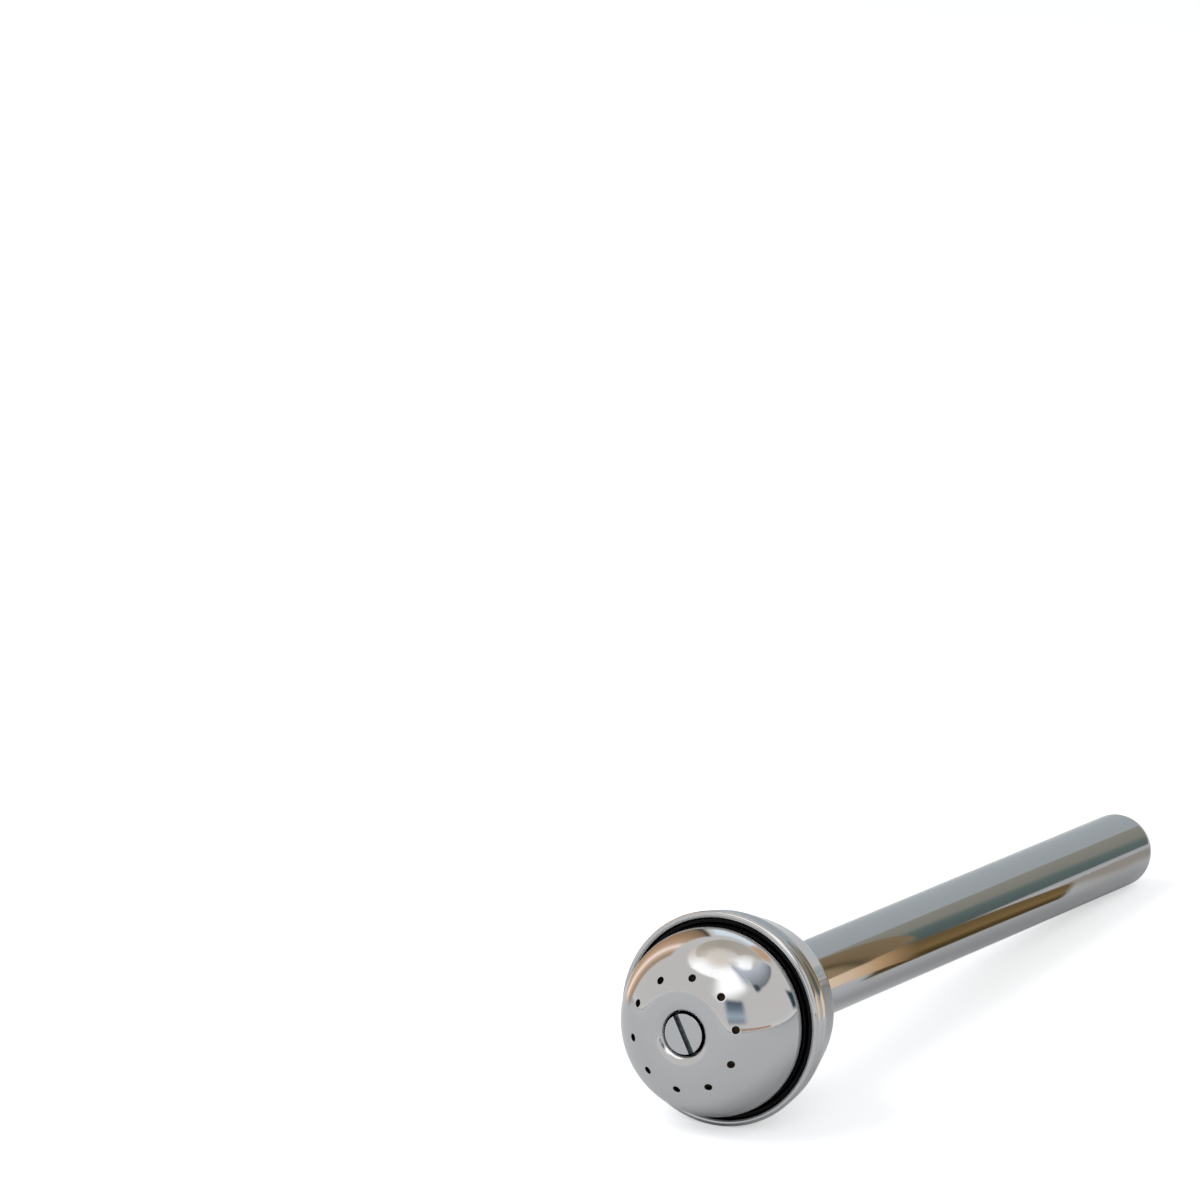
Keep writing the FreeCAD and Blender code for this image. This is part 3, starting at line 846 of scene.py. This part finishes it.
def holed_zone():
    """The ring of the dome that holds the spray holes, as one grid for each hole.

    Columns go once round the hole. Rows run from the border of the hole's own sector to the
    hole's edge, round that edge, down the wall and back to the border on the inner skin.
    """
    s = sizes()
    half_turn = math.pi / s.hole_count
    steps = np.linspace(-1, 1, HOLE_SIDE_STEPS + 1)[:-1]
    flat = np.ones(HOLE_SIDE_STEPS)
    turn = np.concatenate([steps, flat, -steps, -flat, [-1]]) * half_turn
    run = np.concatenate([-flat, steps, flat, -steps, [-1]]) * HOLE_ZONE
    heading = np.unwrap(np.arctan2(run, turn * s.hole_ring))
    edge, outer, inner = HOLE_EDGE, HOLE_OUTER_ROWS, HOLE_INNER_ROWS
    lean = np.radians(np.linspace(18, 90, 5))
    wall = np.ones(len(lean) + 1)
    share = np.concatenate([np.linspace(0, 1, outer), wall, np.linspace(1, 0, inner)])[:, None]
    reach = np.concatenate([np.full(outer, edge), edge * (1 - np.sin(lean)), [0], np.zeros(inner)])
    round_depth = edge * (1 - np.cos(lean))
    inside = np.full(inner, s.rose_wall)
    depth = np.concatenate([np.zeros(outer), round_depth, [s.rose_wall - edge], inside])[:, None]
    radius = s.hole_radius + reach[:, None]
    circle_run = radius * np.sin(heading)
    circle_turn = radius * np.cos(heading) / dome_section(circle_run)[0]
    run = (1 - share) * run + share * circle_run
    turn = (1 - share) * turn + share * circle_turn
    across, along, out_across, out_along = dome_section(run)
    across, along = across - depth * out_across, along - depth * out_along
    for number in range(s.hole_count):
        angle = turn - s.hole_turn + number * 2 * half_turn
        yield spun(across, angle, along)


class SPRINKLER_OT_rose(bpy.types.Operator):
    """Make the perforated rose"""

    bl_idname = "sprinkler.rose"
    bl_label = "Rose"

    def execute(self, context):
        s = sizes()
        crest = (s.crest_ring, -crest_depth())
        hole_lean, join = shoulder_leans()
        rimward = math.degrees(hole_lean - HOLE_ZONE / s.shoulder_radius)
        past = HOLE_ZONE - (join - hole_lean) * s.shoulder_radius
        crestward = math.degrees(join + past / s.crest_radius)
        # The crest is flat between its own arc and the dish's rounded edge
        edge = (s.dish_radius + s.dish_edge, crest[1] - s.crest_radius + s.dish_edge)
        crest_top = crest[1] - s.crest_radius
        crest_under = crest_top + s.rose_wall
        well = s.dish_radius + s.rose_wall
        floor, inside_floor = -dish_floor(), -(dish_floor() - s.rose_wall)
        hole = s.screw_radius + SCREW_GAP
        inner = s.rose_radius - s.rose_wall
        soft = DISH_CORNER
        rim_part = profile(
            arc((dome_axis(), 0), s.shoulder_radius, -rimward, 0, 1.5),
            straight((s.rose_radius, 0), (s.rose_radius, s.rose_skirt)),
            straight((s.rose_radius, s.rose_skirt), (inner, s.rose_skirt)),
            straight((inner, s.rose_skirt), (inner, 0)),
            arc((dome_axis(), 0), s.shoulder_radius - s.rose_wall, 0, -rimward),
        )
        dish_part = profile(
            arc(crest, s.crest_radius, -crestward, -90),
            straight((s.crest_ring, crest_top), (edge[0], crest_top), 4),
            arc(edge, s.dish_edge, -90, -180, 3),
            straight((s.dish_radius, edge[1]), (s.dish_radius, floor - soft)),
            arc((s.dish_radius - soft, floor - soft), soft, 0, 90, 15),
            straight((s.dish_radius - soft, floor), (hole, floor), 3),
            straight((hole, floor), (hole, inside_floor)),
            straight((hole, inside_floor), (well, inside_floor)),
            straight((well, inside_floor), (well, edge[1])),
            arc(edge, s.dish_edge - s.rose_wall, -180, -90, 6),
            straight((edge[0], crest_under), (s.crest_ring, crest_under)),
            arc(crest, s.crest_radius - s.rose_wall, -90, -crestward),
        )
        half_turn = math.pi / s.hole_count
        columns = s.hole_count * HOLE_SIDE_STEPS
        angles = -s.hole_turn - half_turn + np.linspace(0, 2 * math.pi, columns + 1)
        grids = [turned(rim_part, angles)[::-1], turned(dish_part, angles)[::-1], *holed_zone()]
        steel = polished_steel("polished stainless rose", roughness=(0.04, 0.07))
        make_piece("rose_polished", "rose", steel, grids, "rose")
        return {"FINISHED"}


class SPRINKLER_OT_washer(bpy.types.Operator):
    """Make the washer under the screw's head"""

    bl_idname = "sprinkler.washer"
    bl_label = "Screw washer"

    def execute(self, context):
        s = sizes()
        hole = s.screw_radius + SCREW_GAP
        path = softened(
            [
                (hole, -screw_seat()),
                (s.washer_radius, -screw_seat()),
                (s.washer_radius, -dish_floor()),
                (hole, -dish_floor()),
            ],
            WASHER_EDGE,
            closed=True,
        )
        rubber = moulded_rubber("cut rubber sheet", colours().washer)
        grids = [turned(path)]
        make_piece("screw_washer_rubber", "washer", rubber, grids, "screw_washer")
        return {"FINISHED"}


def head_half(flip):
    """One half of the screw's head above the slot's floor, standing on its outline.

    The outline is an arc of the head's radius and the slot's edge. It is drawn in by an inset
    that grows round the rounded top edge, and then shrinks to a point on the flat top.
    """
    s = sizes()
    bevel, guard = HEAD_EDGE, HEAD_GUARD
    face, floor = -screw_face(), s.slot_depth - screw_face()
    lean = np.radians(np.linspace(0, 90, 5))
    inset = np.concatenate([[0, 0, 0], bevel * (1 - np.cos(lean)), [bevel + guard]])
    side_height = [floor, floor - guard, face + bevel + guard]
    height = np.concatenate([side_height, face + bevel * (1 - np.sin(lean)), [face]])
    radius = s.screw_head_radius - inset[:, None]
    side = s.slot_width / 2 + inset[:, None]
    start = np.arcsin(side / radius)
    share = np.linspace(0, 1, HEAD_ARC_STEPS + 1)[None]
    angle = start + share * (math.pi - 2 * start)
    back = np.linspace(-1, 1, HEAD_EDGE_STEPS + 1)[None, 1:]
    x = np.concatenate([radius * np.cos(angle), back * radius * np.cos(start)], axis=1)
    y = np.concatenate([radius * np.sin(angle), np.broadcast_to(side, (len(side), back.size))], axis=1)
    top = np.full((1, x.shape[1]), 0.0)
    x, y = np.concatenate([x, top]), np.concatenate([y, top + s.screw_head_radius / 2])
    height = np.append(height, face)[:, None]
    return on_screw(flip * x, flip * y, height)


def on_screw(x, y, along):
    """Screw coordinates, x along its slot, as points of the row frame."""
    turn = -sizes().slot_turn
    cos, sin = math.cos(turn), math.sin(turn)
    return placed(x * cos - y * sin, x * sin + y * cos, along)


def paint_slot(piece):
    """Gives the slot's walls and floor their own darker finish, painted shade in the recess, by where
    their middles lie.
    """
    faces = piece.data.polygons
    middles = np.empty(len(faces) * 3, np.float32)
    faces.foreach_get("center", middles)
    place = middles.reshape(-1, 3) - placed(0.0, 0.0, 0.0)
    turn = -sizes().slot_turn
    aside = place @ DOWN * math.cos(turn) - place @ SIDE * math.sin(turn)
    depth = place @ ALONG + screw_face()
    inside = np.abs(aside) < sizes().slot_width / 2 + SLOT_SLACK
    # The faces inside the slot get the darker steel that paints the slot's shade
    slot_shade_faces = inside & (depth > SLOT_TOP) & (depth < sizes().slot_depth + SLOT_SLACK)
    piece.data.materials.append(shaded_slot("slot with painted shade"))
    faces.foreach_set("material_index", slot_shade_faces.astype(np.int32))


class SPRINKLER_OT_screw(bpy.types.Operator):
    """Make the slotted screw that holds the rose"""

    bl_idname = "sprinkler.screw"
    bl_label = "Rose screw"

    def execute(self, context):
        s = sizes()
        seat, floor = -screw_seat(), s.slot_depth - screw_face()
        half = s.slot_width / 2
        start = math.asin(half / s.screw_head_radius)
        near = np.linspace(start, math.pi - start, HEAD_ARC_STEPS + 1)
        gap = np.linspace(math.pi - start, math.pi + start, HEAD_GAP_STEPS + 1)
        far, last = near + math.pi, gap + math.pi
        angles = np.concatenate([near, gap[1:], far[1:], last[1:]])
        turn = -s.slot_turn
        inner, edge = s.screw_head_radius - SEAT_EDGE, seat - SEAT_EDGE
        head = profile(
            straight((s.screw_head_radius, floor), (s.screw_head_radius, edge)),
            arc((inner, edge), SEAT_EDGE, 0, 90, 22),
            straight((inner, seat), (s.screw_radius, seat)),
        )
        end = seat + s.screw_length
        tip = SCREW_TIP
        round_screw = angles + turn
        shank = threaded(seat, end - tip, s.screw_radius, THREAD_DEPTH, round_screw, s.thread_pitch)
        point = turned(
            profile(
                straight((s.screw_radius, end - tip), (s.screw_radius - tip, end)),
                straight((s.screw_radius - tip, end), (0, end)),
            ),
            round_screw,
        )
        # The slot's floor: a strip along the slot, and at each end the sliver out to the round edge
        reach = s.screw_head_radius * math.cos(start)
        across = np.linspace(-half, half, HEAD_GAP_STEPS + 1)[:, None]
        run = np.linspace(-reach, reach, HEAD_EDGE_STEPS + 1)[None]
        strip = on_screw(run + 0 * across, across + 0 * run, floor)
        ends = []
        for way in (1, -1):
            lean = np.linspace(-start, start, HEAD_GAP_STEPS + 1)[:, None]
            round_x, round_y = s.screw_head_radius * np.cos(lean), s.screw_head_radius * np.sin(lean)
            x = np.concatenate([np.full_like(across, reach), round_x], axis=1)
            y = np.concatenate([across, round_y], axis=1)
            ends.append(on_screw(way * x, way * y, floor))
        grids = [
            turned(head, round_screw)[::-1],
            shank[::-1],
            point[::-1],
            head_half(1),
            head_half(-1),
            strip,
            *ends,
        ]
        steel = polished_steel("polished stainless screw", roughness=(0.07, 0.12))
        piece = make_piece("rose_screw_polished", "screw", steel, grids, "rose_screw")
        paint_slot(piece)
        return {"FINISHED"}


# The photograph's camera, worked out from the picture: it looks 27.6 degrees to the left of the
# handle and 14 degrees down, with a long lens of 8000 pixels across a 1200 pixel frame
CAMERA_YAW = math.radians(27.6)
CAMERA_DIP = math.radians(14.0)
CAMERA_DISTANCE = 1.584
CAMERA_AIM = (-0.01449, 0.05255)
SENSOR_WIDTH = 36.0
FOCAL_PIXELS = 8000
IMAGE_PIXELS = 1200
CLIP_RANGE = (0.05, 50)


def add_camera():
    """The camera: aim is how far the rose's widest circle lies from the middle, as a slope."""
    yaw, dip = CAMERA_YAW, CAMERA_DIP
    right = Vector((math.cos(yaw), math.sin(yaw), 0))
    forward = Vector((-math.sin(yaw) * math.cos(dip), math.cos(yaw) * math.cos(dip), -math.sin(dip)))
    up = right.cross(forward)
    middle = Vector(SCREW_FACE_MIDDLE + screw_face() * ALONG)
    place = middle - CAMERA_DISTANCE * (forward - CAMERA_AIM[0] * right - CAMERA_AIM[1] * up)
    data = bpy.data.cameras.new("camera")
    data.sensor_width = SENSOR_WIDTH
    data.lens = SENSOR_WIDTH * FOCAL_PIXELS / IMAGE_PIXELS
    data.clip_start, data.clip_end = CLIP_RANGE
    camera = bpy.data.objects.new("camera", data)
    turn = Matrix((right, up, -forward)).transposed().to_4x4()
    camera.matrix_world = Matrix.Translation(place) @ turn
    bpy.context.scene.collection.objects.link(camera)
    bpy.context.scene.camera = camera


def add_light(name, place, size, power):
    """A soft light at the frame's origin that metal doesn't show: cards alone shape reflections."""
    data = bpy.data.lights.new(name, "AREA")
    data.shape = "DISK"
    data.size = size
    data.energy = power
    light = bpy.data.objects.new(name, data)
    light.location = place
    light.rotation_euler = (-Vector(place)).to_track_quat("-Z", "Y").to_euler()
    light.visible_glossy = False
    bpy.context.scene.collection.objects.link(light)


def stage_mesh(name, grid, material):
    """A stage object from one grid of points, with UV from 0 to 1 along its columns and rows."""
    rows, columns = grid.shape[:2]
    faces = grid_faces(grid)
    mesh = bpy.data.meshes.new(name)
    mesh.from_pydata(grid.reshape(-1, 3).tolist(), [], faces.tolist())
    u, v = np.meshgrid(np.linspace(0, 1, columns), np.linspace(0, 1, rows))
    uv = np.column_stack([u.ravel(), v.ravel()])[faces.ravel()]
    mesh.uv_layers.new(name="UVMap").data.foreach_set("uv", uv.ravel().astype(np.float32))
    mesh.materials.append(material)
    item = bpy.data.objects.new(name, mesh)
    bpy.context.scene.collection.objects.link(item)
    return item


def card_material(name, stops, axis, soft):
    """A lit card that shows in metal only: colours along one axis, fading out at its borders.

    The colours are written as the steel shows them, so the card shines brighter by what the
    steel takes.
    """
    material, tree = new_material(name)
    parts = add(tree, "ShaderNodeSeparateXYZ", {0: coordinates(tree, "UV")})
    tone = ramp(tree, parts.outputs[axis], [(p, linear(code)) for p, code in stops])
    fades = []
    for way, edge in zip("XY", soft):
        away = maths(tree, "ABSOLUTE", maths(tree, "SUBTRACT", parts.outputs[way], 0.5))
        links = {"Value": away, "From Min": 0.5, "From Max": 0.5 - edge}
        fade = add(tree, "ShaderNodeMapRange", links, interpolation_type="SMOOTHSTEP")
        fades.append(fade.outputs[0])
    glow = add(tree, "ShaderNodeEmission", {"Color": tone, "Strength": STEEL_TAKES})
    clear = add(tree, "ShaderNodeBsdfTransparent")
    links = {0: maths(tree, "MULTIPLY", *fades), 1: clear.outputs[0], 2: glow.outputs[0]}
    finish_material(tree, add(tree, "ShaderNodeMixShader", links))
    return material


def only_in_metal(item):
    """Hides a stage object from everything but the metal's reflections."""
    item.visible_camera = False
    item.visible_diffuse = False
    item.visible_shadow = False
    item.visible_transmission = False
    item.visible_volume_scatter = False


def hang(name, grid, stops, axis, soft):
    """Makes one card from its grid of points. One colour alone counts for the whole card."""
    if isinstance(stops, str):
        stops = [(0, stops), (1, stops)]
    only_in_metal(stage_mesh(name, grid, card_material(name + " card", stops, axis, soft)))


def far_card(name, turn, low, high, stops, distance=1.0, axis="X", soft=(0.15, 0.15)):
    """A card on a ball about the head: turn holds its sides, low and high its heights at them.

    All are degrees. Turn is measured from the row's Y towards X, and rise up from the horizon:
    place = centre + distance (sin turn cos rise, cos turn cos rise, sin rise).
    """
    across = np.radians(np.linspace(*turn, 61))[None]
    bottom = np.radians(np.linspace(*low, 61))[None]
    top = np.radians(np.linspace(*high, 61))[None]
    up = bottom + (top - bottom) * np.linspace(0, 1, 17)[:, None]
    way = [np.sin(across) * np.cos(up), np.cos(across) * np.cos(up), np.sin(up)]
    hang(name, SCREW_FACE_MIDDLE + distance * np.stack(way, axis=-1), stops, axis, soft)


def near_card(name, corners, stops, axis="X", soft=(0.15, 0.15)):
    """A flat card between four corners, in metres. Its X runs from the first to the second."""
    first, second, third, fourth = (np.array(c) for c in corners)
    u = np.linspace(0, 1, 9)[None, :, None]
    v = np.linspace(0, 1, 5)[:, None, None]
    grid = (1 - v) * ((1 - u) * first + u * second) + v * ((1 - u) * fourth + u * third)
    hang(name, grid, stops, axis, soft)


def add_far_cards():
    """What stands round the studio, placed by its reflections in the photograph's rose."""
    far_card("wall", (-180, 180), (0, 0), (66, 66), "#b7b6b4", distance=1.6, soft=(0.001, 0.1))
    ceiling = [
        (0, "#ffffff"),
        (0.13, "#ffffff"),
        (0.24, "#d3cec7"),
        (0.34, "#b3aca2"),
        (0.5, "#aaa49b"),
        (0.6, "#c6c6c2"),
        (0.67, "#ffffff"),
        (0.73, "#d5dae2"),
        (0.79, "#a9b0bd"),
        (0.82, "#ffffff"),
        (1, "#ffffff"),
    ]
    far_card("ceiling", (-180, 180), (57, 57), (90, 90), ceiling, distance=1.5, soft=(0.001, 0.12))
    round_turn, fade = (-180, 180), (0.001, 0.45)
    far_card("ceiling_middle", round_turn, (66, 66), (114, 114), "#cdc7be", distance=1.3, soft=fade)
    beam = [(0, "#c2bbb2"), (0.3, "#aaa297"), (0.6, "#9c968c"), (1, "#a7a39c")]
    far_card("ceiling_edge", (-108, 36), (68, 43), (78, 72), beam, distance=1.4, soft=(0.06, 0.12))
    side = [(0, "#bdb8b0"), (0.45, "#f2f4f4"), (0.7, "#ffffff"), (1, "#e4eaf2")]
    far_card("side_box", (22, 94), (48, 66), (70, 76), side, distance=1.2, soft=(0.2, 0.4))
    gap = [(0, "#575c5f"), (0.22, "#7a7e82"), (0.55, "#989da5"), (1, "#b4bac4")]
    far_card("roof_gap", (33, 99), (37, 38), (48, 70), gap, distance=1.1, axis="Y", soft=(0.05, 0.12))
    far_card("roof_gap_end", (85, 99), (37, 36), (46, 50), "#38424c", distance=1.0, soft=(0.3, 0.35))
    far_card("roof_side", (96, 122), (44, 52), (78, 76), "#979eac", distance=1.15, soft=(0.35, 0.2))
    far_card("front_box", (100, 178), (42, 24), (80, 80), "#ffffff", distance=1.0, soft=(0.3, 0.3))
    panel = [(0.05, "#64707d"), (0.35, "#93a0ab"), (0.6, "#64717e"), (0.9, "#384552")]
    far_card("dark_panel", (123, 159), (6, 5), (36, 38), panel, distance=0.9, axis="Y", soft=(0.25, 0.2))
    far_card("table_edge", (90, 140), (0.2, 0.2), (3, 4), "#9a7d68", distance=1.2, soft=(0.1, 0.3))
    far_card("pale_window", (-31, 7), (26, 26), (46, 47), "#c8d4dc", distance=1.1, soft=(0.12, 0.2))
    far_card("tan_corner", (2, 32), (28, 34), (50, 48), "#b3967a", distance=1.05, soft=(0.3, 0.25))
    far_card("dark_corner", (33, 50), (-1, 2), (12, 24), "#2c3d45", distance=1.1, soft=(0.3, 0.25))
    far_card("backdrop", (-75, 10), (-1, -1), (27, 27), "#8f9598", distance=1.4, soft=(0.06, 0.08))
    shelf = [(0, "#7e7d75"), (0.5, "#77776f"), (0.62, "#566260"), (0.85, "#465250"), (1, "#4a5654")]
    far_card("backdrop_shelf", (6, 29), (-1.5, -1.5), (27, 24), shelf, distance=1.35, soft=(0.04, 0.05))
    warm = [
        (0, "#9b8672"),
        (0.15, "#9b8672"),
        (0.28, "#c4aa96"),
        (0.36, "#ecd8cc"),
        (0.5, "#b2967e"),
        (0.7, "#94795f"),
        (0.86, "#7a6650"),
        (0.93, "#3e382c"),
    ]
    far_card("warm_screen", (-81, -29), (-6, -12), (44, 52), warm, distance=0.22, soft=(0.08, 0.1))


def add_near_cards():
    """The brown things close beside the handle, placed by their reflections in its tube, and painted
    shade on the floor beside it.
    """
    post = [(0, "#75654f"), (0.32, "#6d5d46"), (0.43, "#4d422e"), (0.55, "#84735a"), (1, "#8b7056")]
    y = -0.004
    corners = [(0.012, y, 0.019), (0.046, y, 0.024), (0.046, y, 0.056), (0.012, y, 0.056)]
    near_card("brown_screen", corners, post, soft=(0.03, 0.06))
    foot = [(0, "#66553d"), (0.12, "#80674a"), (0.24, "#a98b68"), (0.4, "#c4ae95"), (0.6, "#cfbca4")]
    corners = [(0.012, y, 0.011), (0.06, y, 0.0005), (0.06, y, 0.0265), (0.012, y, 0.0212)]
    near_card("brown_screen_foot", corners, foot, soft=(0.12, 0.06))
    tongue = [(0, "#4a3c22"), (0.25, "#40341c"), (0.5, "#6f5b3a"), (0.85, "#5e4e34")]
    corners = [(0.027, -0.002, 0), (0.0155, 0.08, 0), (0.0155, 0.08, 0.0092), (0.027, -0.002, 0.024)]
    near_card("low_block", corners, tongue, axis="Y", soft=(0.05, 0.06))
    # Painted shade: a darker grey-brown patch on the floor beside the handle, seen only in the metal
    level = FLOOR_SHADE_HEIGHT
    corners = [(0.008, 0.08, level), (0.07, 0.10, level), (0.06, 0.21, level), (0.008, 0.18, level)]
    near_card("floor_shade", corners, "#86827b", soft=(0.25, 0.3))


def floor_material():
    """Pale matt floor: white to the camera, and it keeps the sprinkler's shadow."""
    material, tree = new_material("pale floor")
    rays = add(tree, "ShaderNodeLightPath")
    seen = maths(
        tree, "MAXIMUM", rays.outputs["Is Camera Ray"], rays.outputs["Is Transmission Ray"]
    )
    lift = maths(tree, "MULTIPLY", seen, FLOOR_GLOW)
    matt = add(tree, "ShaderNodeBsdfDiffuse", {"Color": (*colours().floor, 1)})
    glow = add(tree, "ShaderNodeEmission", {"Strength": lift})
    shader = add(tree, "ShaderNodeAddShader", {0: matt.outputs[0], 1: glow.outputs[0]})
    finish_material(tree, shader)
    return material


def add_world():
    """White for what the camera and the metal see, and a plain soft level for matt surfaces."""
    scene = bpy.context.scene
    world = bpy.data.worlds.new("studio")
    scene.world = world
    world.use_nodes = True
    tree = world.node_tree
    tree.nodes.clear()
    rays = add(tree, "ShaderNodeLightPath")
    seen = rays.outputs["Is Camera Ray"]
    for kind in ("Is Glossy Ray", "Is Transmission Ray"):
        seen = maths(tree, "MAXIMUM", seen, rays.outputs[kind])
    white = (1, 1, 1, 1)
    soft = add(tree, "ShaderNodeBackground", {"Color": white, "Strength": SOFT_LEVEL})
    bright = add(tree, "ShaderNodeBackground", {"Color": white, "Strength": 1.0})
    both = add(tree, "ShaderNodeMixShader", {0: seen, 1: soft.outputs[0], 2: bright.outputs[0]})
    add(tree, "ShaderNodeOutputWorld", {"Surface": both.outputs[0]})
    scene.view_settings.view_transform = "Standard"


class SPRINKLER_OT_stage(bpy.types.Operator):
    """Make the floor, the lights, the cards that the metal reflects, and the camera"""

    bl_idname = "sprinkler.stage"
    bl_label = "Stage"

    def execute(self, context):
        add_world()
        reach = np.linspace(-FLOOR_REACH, FLOOR_REACH, 9)
        x, y = np.meshgrid(reach, reach)
        stage_mesh("floor", np.stack([x, y, 0 * x], axis=-1), floor_material())
        add_light("key", (-0.9, -0.8, 1.3), size=1.3, power=13)
        add_light("fill", (1.0, -0.9, 1.1), size=1.4, power=7)
        add_far_cards()
        add_near_cards()
        add_camera()
        return {"FINISHED"}


class SPRINKLER_PT_panel(bpy.types.Panel):
    """Lists the sprinkler's pieces and sizes"""

    bl_idname = "SPRINKLER_PT_panel"
    bl_label = "Sprinkler"
    bl_space_type = "VIEW_3D"
    bl_region_type = "UI"
    bl_category = "Sprinkler"

    def draw(self, context):
        for operator in OPERATORS:
            self.layout.operator(operator.bl_idname)
        for name in ("sprinkler_sizes", "sprinkler_colours"):
            group = getattr(context.scene, name)
            box = self.layout.box()
            for key in group.__annotations__:
                box.prop(group, key)


OPERATORS = (
    SPRINKLER_OT_handle,
    SPRINKLER_OT_cup,
    SPRINKLER_OT_post,
    SPRINKLER_OT_seal,
    SPRINKLER_OT_sponge,
    SPRINKLER_OT_rose,
    SPRINKLER_OT_washer,
    SPRINKLER_OT_screw,
    SPRINKLER_OT_stage,
)
CLASSES = (SprinklerSizes, SprinklerColours, *OPERATORS, SPRINKLER_PT_panel)


def register():
    """Registers the classes and hangs the sizes and colours on the scene."""
    for item in CLASSES:
        bpy.utils.register_class(item)
    bpy.types.Scene.sprinkler_sizes = PointerProperty(type=SprinklerSizes)
    bpy.types.Scene.sprinkler_colours = PointerProperty(type=SprinklerColours)


def unregister():
    """Takes the sizes, the colours and the classes away again."""
    del bpy.types.Scene.sprinkler_colours
    del bpy.types.Scene.sprinkler_sizes
    for item in reversed(CLASSES):
        bpy.utils.unregister_class(item)


def main():
    register()
    for operator in OPERATORS:
        group, name = operator.bl_idname.split(".")
        getattr(getattr(bpy.ops, group), name)()


if __name__ == "__main__":
    main()
